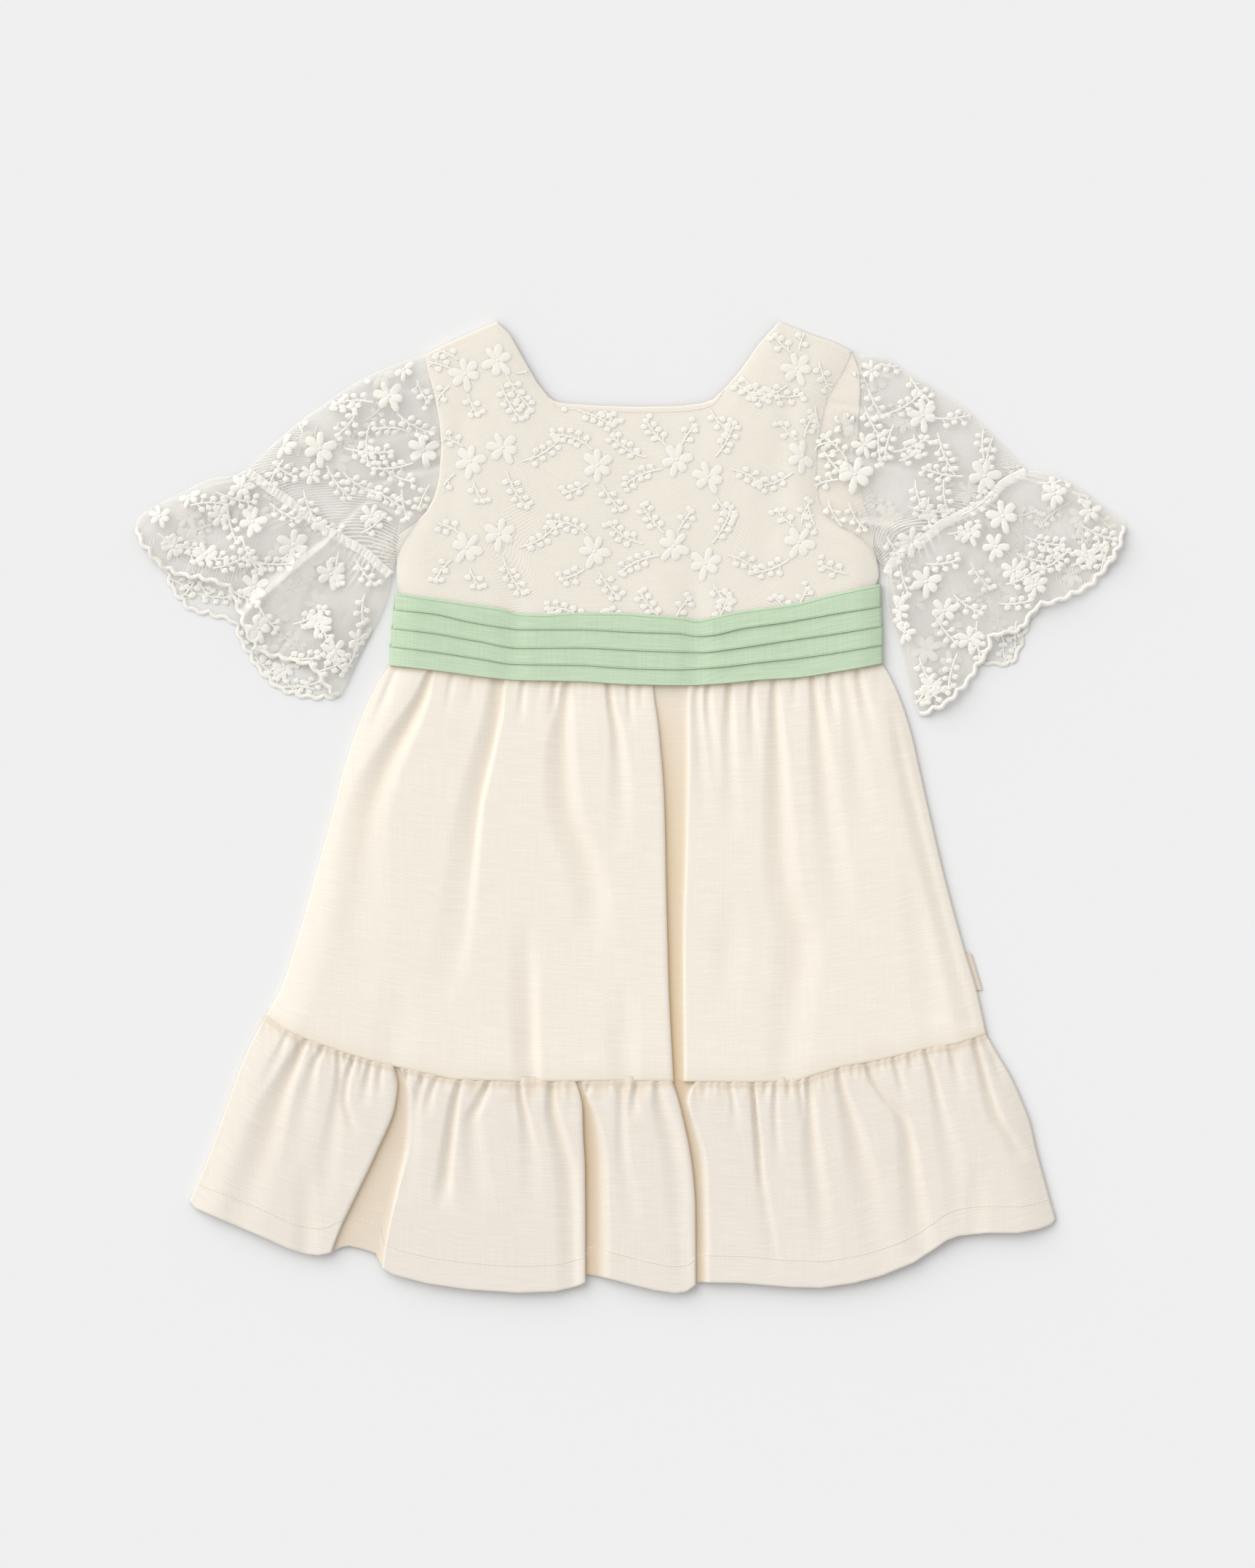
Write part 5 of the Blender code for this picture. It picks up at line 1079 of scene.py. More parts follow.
LEFT_SLEEVE = dict(
    top=((121.5, 250.2), (127.0, 248.5), (133.0, 249.0), (138.0, 248.0), (150.0, 240.3), (160.0, 234.2),
         (170.0, 228.2), (180.0, 222.0), (190.0, 213.2), (200.0, 203.2), (210.0, 193.2), (218.0, 185.2)),
    cuff=((218.0, 185.2), (205.0, 178.2), (197.0, 169.0), (185.0, 162.0), (170.0, 155.0),
          (160.0, 147.0), (148.0, 140.0), (139.5, 127.0)),
    underarm=((136.4, 143.0), (138.0, 135.0), (139.5, 127.0)),
    armhole=LEFT_SIDE[4:], armhole_back=LEFT_SIDE_BACK[4:], out=1,
    creases=(
        ((-104, 196, 0.8, 3, 3), (-120, 192, 1.2, 5, 4), (-145, 186, 0.9, 7, 6), (-175, 178, 0.0, 9, 8)),
        ((-108, 222, 1.0, 3, 3), (-126, 218, 1.3, 5, 4), (-150, 212, 0.8, 8, 7), (-180, 205, 0.0, 9, 8)),
        ((-118, 240, 0.9, 3, 3), (-138, 238, 1.0, 5, 5), (-165, 222, 0.0, 8, 8)),
        ((-112, 160, 0.9, 2, 3), (-125, 158, 1.3, 3, 5), (-145, 156, 1.2, 4, 7), (-170, 160, 0.5, 6, 8),
         (-190, 165, 0.0, 7, 8))),
    extra=((1.5, (126, 160), (168, 157), (136.5, 141), (148, 141.5)),
           (1.9, (112, 222), (128, 204), (124, 158), (136, 154))))


print("sleeve tables hold", ", ".join(RIGHT_SLEEVE))

# %% The sleeves
UNDER_THE_BODICE = 1.6
SLEEVE_ROWS, SLEEVE_COLUMNS = 64, 84
SLEEVE_TURN = 14.0
# shares of the way from armhole to cuff, and heights there
SLEEVE_SWELL = (0.0, 0.25, 0.75, 1.0), (1.5, 3.4, 3.5, 2.0)


def sleeve_layer(parts, armhole, across, rows):
    """One layer in plan, from the armhole under the bodice's edge to the cuff."""
    hole = np.asarray(armhole, float)[::-1]
    hole = hole - (UNDER_THE_BODICE * parts["out"], 0.0)
    steps = np.concatenate([[0.0], np.cumsum(np.hypot(*np.diff(hole, axis=0).T))])
    start = np.stack([np.interp(across * steps[-1], steps, hole[:, k]) for k in (0, 1)], axis=-1)
    upper, under = along(parts["top"], rows), along(parts["underarm"], rows)
    start[0], start[-1] = upper[0], under[0]
    return patch(start, along(parts["cuff"], across), upper, under, rows)


def make_sleeve(name, node, parts):
    rows, across = np.linspace(0.0, 1.0, SLEEVE_ROWS), np.linspace(0.0, 1.0, SLEEVE_COLUMNS)
    front = sleeve_layer(parts, parts["armhole"], across, rows)
    back = sleeve_layer(parts, parts["armhole_back"], across, rows)
    x, y = front[..., 0], front[..., 1]
    run = x if parts["out"] < 0 else -x
    creases = sum(trough(y, run, crease) for crease in parts["creases"])
    pleats = 0.35 * np.sin(across * 95.0 + 2.0 * np.sin(across * 13.0))[None, :]
    pleats = pleats * (np.exp(-rows / 0.10) + 0.8 * np.exp(-(1 - rows) / 0.07))[:, None]
    height = np.maximum(flowing(*SLEEVE_SWELL, rows)[:, None] - creases * 0.9 + pleats, 0.8)
    ring = pressed_tube(front, SLEEVE_TURN, height, back)
    return tube_piece(name, ring, parts["extra"], node, smooth(0.35, 1.2, creases))


sleeve_right = make_sleeve("net_sleeve_right", "sleeve_right", RIGHT_SLEEVE)
sleeve_left = make_sleeve("net_sleeve_left", "sleeve_left", LEFT_SLEEVE)

# %% [markdown]
# ## Sleeve flounces
# A wider strip of the same net, gathered to the sleeve's end, whose free edge is scalloped and
# corded. Laid flat, it falls into flutes. The front layer ends higher than the back one, so two
# rows of scallops show.

# %% Outlines of the sleeve flounces
# flutes: share along the cuff, share along the hem, then heights at cuff, half way and at the hem
RIGHT_FLOUNCE = dict(
    top=((-212.3, 185.0), (-220.0, 182.3), (-230.0, 181.0), (-240.0, 177.0), (-250.0, 172.0),
         (-260.0, 167.0), (-270.0, 160.5), (-272.5, 156.0)),
    inner=((-132.0, 126.0), (-133.6, 117.0), (-138.0, 105.0), (-146.0, 90.0), (-153.0, 75.0),
           (-157.0, 66.0), (-160.5, 60.5)),
    hem=((-272.5, 156.0), (-271.5, 149.0), (-266.0, 140.0), (-259.0, 132.5), (-252.0, 128.5),
         (-244.0, 126.3), (-236.0, 124.8), (-228.0, 123.0), (-221.5, 119.5), (-218.0, 112.0),
         (-215.0, 104.0), (-211.0, 94.0), (-206.0, 86.5), (-196.0, 82.0), (-185.0, 79.7),
         (-176.0, 76.5), (-170.0, 69.0), (-165.5, 62.5), (-160.5, 60.5)),
    hem_back=((-272.5, 156.0), (-271.5, 149.0), (-265.0, 139.0), (-257.0, 131.0), (-254.0, 122.0),
              (-249.0, 114.5), (-242.0, 108.0), (-230.0, 104.8), (-219.5, 101.5), (-215.0, 91.0),
              (-210.0, 82.5), (-204.0, 74.0), (-195.0, 65.5), (-183.0, 60.8), (-170.0, 59.3),
              (-160.5, 60.5)),
    flutes=((0.00, 0.00, 1.5, 1.5, 1.5), (0.10, 0.10, 2.4, 4.0, 3.4), (0.24, 0.21, 1.7, 1.8, 1.5),
            (0.40, 0.36, 2.8, 4.3, 3.2), (0.55, 0.50, 1.8, 1.6, 1.5), (0.61, 0.56, 3.2, 4.5, 4.3),
            (0.76, 0.72, 1.8, 2.0, 1.6), (0.88, 0.87, 2.6, 4.0, 3.6), (1.00, 1.00, 1.5, 1.5, 1.5)),
    extra=((1.5, (-173, 146), (-141, 133), (-203, 109), (-148, 87)),
           (1.9, (-168, 118), (-142, 112), (-196, 84), (-156, 72)),
           (1.7, (-232, 179), (-206, 180), (-256, 160), (-200, 166))))
LEFT_FLOUNCE = dict(
    top=((218.3, 185.0), (225.0, 184.4), (232.0, 182.5), (240.0, 179.4), (247.0, 175.0),
         (255.0, 168.5), (263.0, 163.0), (271.5, 157.0)),
    inner=((140.0, 126.3), (139.8, 117.0), (141.5, 106.0), (146.5, 89.0), (151.0, 70.0),
           (154.5, 58.0), (158.0, 49.8)),
    hem=((271.5, 157.0), (270.5, 149.0), (267.5, 140.5), (261.0, 131.0), (252.5, 121.5),
         (243.0, 116.3), (233.0, 112.3), (224.0, 109.8), (219.0, 104.0), (214.0, 97.0), (206.0, 95.0),
         (198.5, 93.5), (197.0, 87.0), (192.0, 79.0), (186.0, 69.5), (180.0, 62.5), (170.0, 54.5),
         (158.0, 49.8)),
    hem_back=((271.5, 157.0), (270.5, 149.0), (265.5, 140.0), (259.0, 130.0), (250.0, 121.0),
              (239.0, 114.5), (227.0, 110.2), (220.0, 104.0), (216.5, 94.0), (213.0, 84.5),
              (208.0, 78.0), (200.0, 78.0), (193.0, 79.0), (186.0, 70.0), (178.0, 61.5), (168.0, 53.8),
              (158.0, 49.8)),
    flutes=((0.00, 0.00, 1.5, 1.5, 1.5), (0.10, 0.09, 2.4, 4.0, 3.6), (0.24, 0.22, 1.8, 1.9, 1.5),
            (0.38, 0.38, 2.9, 4.4, 3.8), (0.50, 0.53, 1.8, 1.6, 1.5), (0.58, 0.60, 3.3, 4.5, 4.4),
            (0.76, 0.75, 2.0, 2.2, 1.8), (0.88, 0.88, 2.6, 4.0, 3.6), (1.00, 1.00, 1.5, 1.5, 1.5)),
    extra=((1.5, (168, 150), (192, 163), (176, 118), (204, 112)),
           (1.9, (196, 160), (216, 172), (196, 100), (214, 90)),
           (1.7, (142, 122), (160, 136), (152, 84), (158, 66))))


print("flounce tables hold", ", ".join(RIGHT_FLOUNCE))

# %% Flounces with scalloped edges
SCALLOPS = 19
SCALLOP_STEPS = 11
SCALLOP_DEPTH = 2.0
FLOUNCE_ROWS = 44
FLOUNCE_TURN = 7.0
CUFF_GATHER, EDGE_RUFFLE = 0.45, 0.25


def leftward(line):
    """The direction square to a line at each of its points, to the left as one walks along."""
    run = np.gradient(line, axis=0)
    run /= np.linalg.norm(run, axis=1, keepdims=True)
    return np.stack([-run[:, 1], run[:, 0]], axis=1)


def scalloped(hem, share, out):
    """A hem that runs from the sleeve's upper edge to its underarm, in scallops."""
    bulge = SCALLOP_DEPTH * (np.abs(np.sin(np.pi * SCALLOPS * share)) ** 0.8 - 0.55)
    return along(hem, share) + leftward(along(hem, share)) * out * bulge[:, None]


def flounce_layers(parts, cuff, out):
    """Front and back layer in plan, and the height of the front one."""
    rows = np.linspace(0.0, 1.0, FLOUNCE_ROWS)
    across = np.linspace(0.0, 1.0, SCALLOPS * SCALLOP_STEPS + 1)
    at_cuff, at_hem, *heights = np.transpose(parts["flutes"])
    cuff_line = along(cuff, flowing(at_hem, at_cuff, across)) - (0.0, 0.3)
    upper, under = along(parts["top"], rows), along(parts["inner"], rows)
    cuff_line[0], cuff_line[-1] = upper[0], under[0]
    layers = []
    for hem in (parts["hem"], parts["hem_back"]):
        edge = scalloped(hem, across, out)
        edge[0], edge[-1] = upper[-1], under[-1]
        layers.append(patch(cuff_line, edge, upper, under, rows))
    profiles = np.stack([flowing(at_hem, height, across) for height in heights])
    height = np.stack([flowing((0.0, 0.5, 1.0), column, rows) for column in profiles.T], axis=1)
    pleats = np.sin(across * 150.0 + 3.0 * np.sin(across * 17.0))[None, :]
    height = height + CUFF_GATHER * pleats * np.exp(-rows / 0.13)[:, None]
    ruffle = EDGE_RUFFLE * np.sin(across * np.pi * 2 * SCALLOPS)[None, :] * (rows[:, None] ** 6)
    return layers, np.maximum(height + ruffle, 0.9)


def make_flounce(name, node, parts, cuff, out):
    (front, back), height = flounce_layers(parts, cuff, out)
    steps = np.linalg.norm(np.gradient(front, axis=1), axis=2)
    steepness = np.abs(np.gradient(height, axis=1) / np.maximum(steps, 0.3))
    piece = tube_piece(name, pressed_tube(front, FLOUNCE_TURN, height, back), parts["extra"], node,
                       smooth(0.12, 0.5, steepness))
    return piece, front[-1], back[-1]


flounce_right, hem_right, hem_right_back = make_flounce(
    "net_flounce_right", "cuff_flounce_right", RIGHT_FLOUNCE, RIGHT_SLEEVE["cuff"], -1)
flounce_left, hem_left, hem_left_back = make_flounce(
    "net_flounce_left", "cuff_flounce_left", LEFT_FLOUNCE, LEFT_SLEEVE["cuff"], 1)

# %% [markdown]
# ## Embroidery
# Flowers, leaves and berried sprigs in satin stitch, the ordinary vocabulary of sprigged net.
# Each is real, raised geometry: a petal is a small dome, ribbed by its finish, a berry a button,
# a stem a thin cord. They are charted flat, in plan, and every point then drops onto the cloth
# below it, so that a motif bends with the folds. All motifs of a piece are one joined mesh.

# %% A needle that collects stitches into one mesh
# rings of a petal as shares of its width and of its lift, and the uneven petals of one flower
PETAL_RINGS = ((0.5, 0.96), (0.82, 0.66), (1.0, -0.05))
PETAL_LENGTHS = (1.0, 0.88, 1.04, 0.92, 0.98, 0.84)


class Needle:
    """Lays stitches on the height that a function gives for a place, where inside allows it."""

    def __init__(self, height, inside=None, plump=1.0):
        self.height, self.inside, self.plump = height, inside or (lambda x, y: True), plump
        self.corners, self.faces, self.cuts = [], [], []

    def lay(self, points, faces, cuts):
        """Keeps a stitch if all of it is on the cloth. points are x, y and lift."""
        placed = []
        for x, y, lift in points:
            under = self.height(x, y) if self.inside(x, y) else None
            if under is None:
                return
            placed.append((x, y, under + lift * self.plump))
        start = len(self.corners)
        self.corners += placed
        self.faces += [tuple(start + corner for corner in face) for face in faces]
        self.cuts += cuts

    def petal(self, x, y, turn, long, wide, lift, jagged=0.0, count=14):
        """A leaf of satin stitch that starts at x, y: a dome over a pointed oval."""
        points, cuts = [], []
        for out, high in PETAL_RINGS:
            for k in range(count):
                a = math.tau * k / count
                end = math.cos(a)
                side = math.sin(a) * (0.93 + 0.07 * math.cos(2 * a)) * (1 + 0.16 * end)
                side *= 1 + jagged * (k % 2)
                u, v = long / 2 * (1 + out * end), wide / 2 * out * side
                points.append((x + u * math.cos(turn) - v * math.sin(turn),
                               y + u * math.sin(turn) + v * math.cos(turn), lift * high))
                cuts.append((v, u + abs(v) * 0.5, 0.0))
        middle = (x + long / 2 * math.cos(turn), y + long / 2 * math.sin(turn), lift)
        points.append(middle)
        cuts.append((0.0, long / 2, 0.0))
        faces = [(3 * count, k, (k + 1) % count) for k in range(count)]
        for ring in range(2):
            a, b = ring * count, (ring + 1) * count
            faces += [(a + k, b + k, b + (k + 1) % count, a + (k + 1) % count) for k in range(count)]
        self.lay(points, faces, cuts)

    def berry(self, x, y, size):
        self.petal(x - size / 2, y, 0.3 * math.sin(x * 3.1 + y), size * 1.08, size, 0.42, 0.0, 10)

    def cord(self, line, wide, lift, twist=1.0):
        """A raised thread along points x, y, half round in section."""
        line = np.asarray(line, float)
        side = leftward(line) * wide / 2
        far = np.concatenate([[0.0], np.cumsum(np.linalg.norm(np.diff(line, axis=0), axis=1))])
        for k in range(len(line) - 1):
            points, cuts = [], []
            for at in (k, k + 1):
                for out, high in ((-1.0, -0.1), (-0.55, 0.8), (0.0, 1.0), (0.55, 0.8), (1.0, -0.1)):
                    points.append((*(line[at] + side[at] * out), lift * high))
                    cuts.append((out * wide / 2, far[at] + twist * out * wide / 4, 0.0))
            self.lay(points, [(j, j + 1, j + 6, j + 5) for j in range(4)], cuts)

    def flower(self, x, y, turn, size=18.0):
        """Petals of uneven length round an open middle; two of them have cut edges."""
        for k, length in enumerate(PETAL_LENGTHS):
            a = turn + math.tau * k / len(PETAL_LENGTHS) + 0.12 * math.sin(2.3 * k + x)
            long, leaf = size * 0.47 * length, k % 3 == 1
            self.petal(x + 0.7 * math.cos(a), y + 0.7 * math.sin(a), a, long * (1.12 if leaf else 1.0),
                       size * (0.23 if leaf else 0.30), 0.36 + 0.05 * (k % 2), 0.22 if leaf else 0.1, 22)
        self.petal(x - 1.0, y, 0.0, 2.0, 2.0, 0.6, 0.0, 10)

    def sprig(self, x, y, turn, long=22.0, bend=0.5, size=3.9):
        """A curved stem with berries on short stalks to either side and one at its tip."""
        berries = round(long / 2.5)
        share = np.linspace(0.0, 1.0, 12)
        way = turn + bend * (share - 0.3)
        step = long / 11
        stem = np.stack([x + np.cumsum(np.cos(way)) * step, y + np.cumsum(np.sin(way)) * step], 1)
        self.cord(stem, 1.15, 0.36)
        for k in range(berries - 1):
            at = 0.18 + 0.74 * k / max(berries - 2, 1)
            place = np.array([np.interp(at, share, stem[:, 0]), np.interp(at, share, stem[:, 1])])
            out = turn + bend * (at - 0.3) + (0.95 if k % 2 else -0.95)
            away = np.array([math.cos(out), math.sin(out)])
            reach = 2.5 + 0.4 * math.sin(1.7 * k + x)
            self.cord([place, place + away * reach * 0.55, place + away * reach], 0.95, 0.32)
            self.berry(*(place + away * (reach + size * 0.25)), size * (1.0 - 0.1 * at))
        self.berry(*stem[-1], size * 0.9)

    def finish(self, name, material, slot="lace"):
        piece = make_piece(name, self.corners, self.faces, material, self.cuts)
        print(f"{name}: {len(self.faces)} faces of stitching")
        return piece


# %% [markdown]
# The net repeats one group of six sprays across its width, and each row of the repeat lies about
# 48 mm below the last. A spray is a flower with two or three berried sprigs. Its table gives the
# flower's place and turn, and each sprig's start, direction in degrees, length and bend.

# %% The repeat on the bodice
SPRAYS = (
    # flower x, y, turn; then its sprigs as x, y, direction, length, bend
    ((-88.5, 190.0, 0.3), ((-91, 197, 152, 17, 0.5), (-87, 180, -70, 12, 0.4), (-96, 184, -135, 14, 0.5))),
    ((-70.5, 197.5, 0.9), ((-62, 190, 20, 23, 0.7), (-69, 187, -68, 23, 0.5))),
    ((-18.5, 188.0, 0.5), ((-20, 195, 148, 24, 0.9), (-23, 179, -150, 14, -0.5), (-17, 179, -58, 18, 0.3))),
    ((25.0, 191.0, 0.2), ((21, 197, 133, 19, -0.3), (27, 198, 60, 13, -0.3), (10, 192, 158, 22, -0.7),
                          (19, 186, -165, 23, 0.6))),
    ((42.5, 181.5, 0.8), ((45, 191, 56, 22, 0.4), (53, 186, -18, 18, -0.6), (46, 172, -58, 15, 0.5))),
    ((94.0, 193.0, 0.4), ((92, 201, 140, 13, -0.4), (95, 202, 75, 13, -0.5), (90, 185, -150, 20, -0.6))),
)
REPEAT_DOWN = ((-3.0, 48.0), (0.0, 0.0), (-1.8, -47.5), (-3.0, -95.0))
NECK_SPRIGS = ((-70, 240, -58, 24, 0.3), (-32, 219, -20, 22, -0.3), (60, 237, -40, 18, 0.5),
               (76, 227, -8, 16, 0.6), (105, 233, -5, 16, 0.4), (-97, 240, 160, 16, 0.4),
               (103, 247, -75, 18, 0.4), (112, 236, -95, 16, -0.4), (101, 222, -80, 18, 0.5),
               (97, 168, -75, 18, 0.5), (108, 146, -25, 18, 0.5), (120, 128, 165, 16, -0.4))


def inside_bodice(x, y):
    row = int(np.argmin(np.abs(bodice_front_plan[:, 40, 1] - y)))
    left, right = bodice_front_plan[row, 0, 0] + 1.2, bodice_front_plan[row, -1, 0] - 1.2
    top = np.interp(x, *np.transpose(BODICE_TOP)) - 0.8
    return left < x < right and y < top and y > float(height_at(SASH_TOP, x)) - 2.0


bodice_needle = Needle(surface_under(bodice_net), inside_bodice, plump=0.62)
for dx, dy in REPEAT_DOWN:
    for (x, y, turn), sprigs in SPRAYS:
        bodice_needle.flower(x + dx, y + dy, turn + dy * 0.01)
        for sx, sy, way, long, bend in sprigs:
            bodice_needle.sprig(sx + dx, sy + dy, math.radians(way), long, bend)
for x, y, way, long, bend in NECK_SPRIGS:
    bodice_needle.sprig(x, y, math.radians(way), long, bend)
bodice_embroidery = bodice_needle.finish("bodice_embroidery", bodice_thread)

# %% [markdown]
# The seam between sleeve and flounce is a narrow ruffled band, because the gathered net stands up
# in its allowance. It is made before the sprays of the sleeves, because some of them lie over it.

# %% Gathered seams of the sleeves


def seam_band(name, line, pieces, wide, seed):
    """A ruffled strip of doubled net that lies along a seam."""
    chance = np.random.default_rng(seed)
    share = np.linspace(0.015, 0.985, 260)
    middle = along(line, share)
    side = leftward(middle)
    wander = np.cumsum(chance.normal(0, 0.12, len(share)))
    wander -= np.linspace(wander[0], wander[-1], len(share))
    tops = [surface_under(piece) for piece in pieces]
    heights = []
    for x, y in middle:
        found = [h for h in (top(x, y) for top in tops) if h is not None]
        heights.append(max(found) if found else 3.0)
    heights = flowing(share[::13], np.array(heights)[::13], share)
    rows = []
    for across in np.linspace(-0.5, 0.5, 9):
        swing = 0.16 * np.sin(share * 210.0 + 2.5 * np.sin(share * 31.0) + across * 2.0)
        lift = 0.25 + (0.45 + swing) * math.cos(math.pi * across) ** 0.5
        rows.append(with_height(middle + side * (across * wide + wander * 0.5)[:, None], heights + lift))
    return cloth(name, np.stack(rows), net_gathered)


band_right = seam_band("right_seam_band", RIGHT_SLEEVE["cuff"], (sleeve_right, flounce_right), 5.2, 61)
band_left = seam_band("left_seam_band", LEFT_SLEEVE["cuff"], (sleeve_left, flounce_left), 5.2, 67)

# %% [markdown]
# On the sleeves the sprays stand closer together, above all near the edges. The front layer's
# are placed one by one, and the lower layer's, of which only a pale shadow shows through, follow
# an even, seeded scatter.

# %% Sprays on sleeves and flounces
RIGHT_FLOWERS = (
    # x, y, turn, size
    (-171, 197, 0.4, 19), (-133, 226, 0.9, 17), (-191, 199, 0.1, 14), (-114, 196, 0.6, 18),
    (-176, 183, 1.3, 12), (-186, 144, 0.5, 18), (-208, 157, 0.2, 16), (-234, 139, 0.8, 14),
    (-207, 121, 0.4, 16), (-259, 160, 0.7, 12), (-214, 176, 0.2, 14), (-165, 128, 0.6, 16),
    (-205, 98, 0.9, 15), (-172, 101, 0.3, 15), (-163, 86, 0.8, 14), (-191, 76, 0.5, 13),
    (-125, 241, 0.5, 12), (-143, 160, 0.2, 13), (-252, 143, 0.1, 13), (-226, 160, 1.0, 13),
    (-150, 92, 0.4, 12), (-243, 171, 0.3, 12))
RIGHT_SPRIGS = (
    # x, y, direction, length, bend
    (-160, 198, -10, 26, 0.4), (-168, 190, -62, 22, 0.5), (-180, 205, 110, 12, -0.5),
    (-130, 218, -38, 22, 0.6), (-140, 222, 175, 22, 0.6), (-150, 220, -120, 18, -0.6),
    (-143, 212, -100, 22, 0.6), (-120, 205, 165, 20, 0.7), (-118, 190, -165, 22, -0.5),
    (-136, 186, -30, 16, 0.6), (-160, 186, -40, 24, 0.6), (-150, 176, -20, 24, -0.5),
    (-180, 176, -75, 20, 0.5), (-190, 192, -125, 16, 0.4), (-197, 190, -40, 14, 0.5),
    (-110, 178, -120, 14, 0.4), (-126, 176, -85, 16, 0.4), (-168, 226, -30, 16, 0.5),
    (-158, 233, 20, 16, 0.4), (-118, 236, -70, 14, 0.4), (-230, 174, -20, 22, 0.4),
    (-244, 165, 10, 20, -0.6), (-262, 152, -30, 24, 0.6), (-222, 166, -80, 20, 0.4),
    (-214, 150, -70, 22, 0.5), (-248, 141, -15, 24, 0.5), (-232, 131, 15, 22, 0.5),
    (-210, 136, -10, 22, 0.5), (-196, 135, 30, 18, 0.5), (-224, 123, -35, 20, 0.6),
    (-205, 112, -60, 16, 0.5), (-215, 103, -60, 18, 0.4), (-188, 100, 20, 20, 0.5),
    (-172, 112, -80, 20, 0.4), (-170, 92, -60, 20, 0.5), (-196, 84, -10, 22, 0.5),
    (-176, 74, 15, 18, 0.5), (-158, 74, 60, 16, 0.5), (-152, 138, -60, 18, 0.5),
    (-160, 142, -100, 18, 0.5), (-146, 118, -100, 16, 0.5), (-256, 128, -30, 18, 0.6),
    (-240, 118, -12, 18, 0.4), (-208, 84, -45, 18, 0.5), (-190, 66, 5, 18, 0.4), (-150, 150, 30, 16, 0.5),
    (-178, 160, -30, 18, 0.4), (-200, 168, -35, 18, 0.3))
LEFT_FLOWERS = (
    (123, 183, 0.3, 20), (160, 215, 0.7, 17), (194, 182, 0.2, 19), (154, 146, 0.5, 16), (128, 199, 0.9, 14),
    (232, 172, 0.4, 15), (204, 160, 0.8, 18), (200, 143, 0.1, 15), (162, 124, 0.4, 17), (252, 163, 0.2, 13),
    (250, 138, 0.7, 14), (210, 130, 0.5, 14), (172, 108, 0.2, 15), (186, 92, 0.6, 15), (164, 66, 0.3, 13),
    (146, 110, 0.8, 13), (222, 122, 0.4, 14), (150, 96, 0.2, 12), (186, 150, 0.9, 13), (132, 240, 0.5, 11))
LEFT_SPRIGS = (
    (119, 190, 130, 18, 0.5), (115, 180, 190, 16, 0.5), (130, 232, -70, 18, 0.5),
    (135, 244, -10, 14, 0.5), (128, 222, -70, 18, 0.4), (140, 216, 25, 20, 0.5), (152, 240, -60, 20, 0.5),
    (165, 214, 0, 22, 0.5), (168, 208, -75, 22, 0.4), (145, 212, -110, 20, 0.4), (155, 206, -80, 12, 0.3),
    (136, 206, -90, 16, 0.4), (142, 195, 15, 20, 0.5), (146, 190, 20, 12, 0.5), (194, 190, 95, 18, -0.4),
    (200, 206, -110, 18, 0.4), (184, 182, 175, 22, -0.5), (172, 182, -90, 18, 0.5),
    (156, 182, -80, 22, 0.6), (150, 166, -15, 20, 0.5), (164, 172, -95, 16, 0.5), (180, 160, 30, 20, 0.5),
    (108, 170, -70, 16, 0.5), (104, 200, -60, 18, 0.5), (240, 174, -15, 22, 0.4), (222, 178, 5, 18, 0.4),
    (214, 150, -20, 22, 0.5), (226, 148, -60, 16, 0.5), (246, 156, -30, 20, 0.5),
    (256, 150, -75, 16, 0.4), (240, 132, 25, 20, 0.5), (222, 130, 25, 20, 0.6), (204, 122, 20, 20, 0.5),
    (200, 112, 0, 18, 0.4), (210, 140, -20, 18, 0.4), (186, 136, -60, 18, 0.5), (176, 118, -40, 18, 0.5),
    (166, 108, -60, 20, 0.5), (190, 104, -90, 20, 0.4), (180, 86, -110, 20, 0.4),
    (172, 72, -140, 20, 0.4), (158, 84, -70, 18, 0.5), (150, 120, -100, 18, 0.4),
    (148, 134, -80, 16, 0.4), (160, 134, 0, 18, 0.5), (156, 58, 20, 16, 0.4), (212, 104, -95, 18, 0.4),
    (204, 90, -80, 12, 0.4), (262, 142, -110, 14, 0.4), (172, 150, 10, 18, 0.4), (140, 150, -60, 14, 0.4))


def embroider(name, band, pieces, flowers, sprigs, seed):
    """Sprays over the upper layer of a sleeve and its flounce, and scattered on the lower one."""
    tops = [surface_under(piece) for piece in (band, *pieces)]
    lows = [surface_under(piece, lowest=True) for piece in pieces]

    def first_of(heights):
        return lambda x, y: next((h for h in (found(x, y) for found in heights) if h is not None), None)

    upper = Needle(first_of(tops))
    for x, y, turn, size in flowers:
        upper.flower(x, y, turn, size)
    for x, y, way, long, bend in sprigs:
        upper.sprig(x, y, math.radians(way), long, bend, 3.7)
    low = first_of(lows)
    under = Needle(lambda x, y: None if low(x, y) is None else low(x, y) + 0.1)
    chance = np.random.default_rng(seed)
    places = np.array([row[:2] for row in flowers], float)
    for x, y in places + chance.uniform(-13, 13, places.shape):
        under.flower(x, y, chance.uniform(0, 6), chance.uniform(14, 18))
    places = np.array([row[:2] for row in sprigs], float)[::2]
    for x, y in places + chance.uniform(-12, 12, places.shape):
        under.sprig(x, y, chance.uniform(0, 6), chance.uniform(14, 22), 0.5, 3.5)
    return (upper.finish(name + "_embroidery", embroidery_thread),
            under.finish(name + "_embroidery_below", embroidery_thread))


sprays_right, sprays_right_below = embroider(
    "right", band_right, (sleeve_right, flounce_right), RIGHT_FLOWERS, RIGHT_SPRIGS, 53)
sprays_left, sprays_left_below = embroider(
    "left", band_left, (sleeve_left, flounce_left), LEFT_FLOWERS, LEFT_SPRIGS, 59)

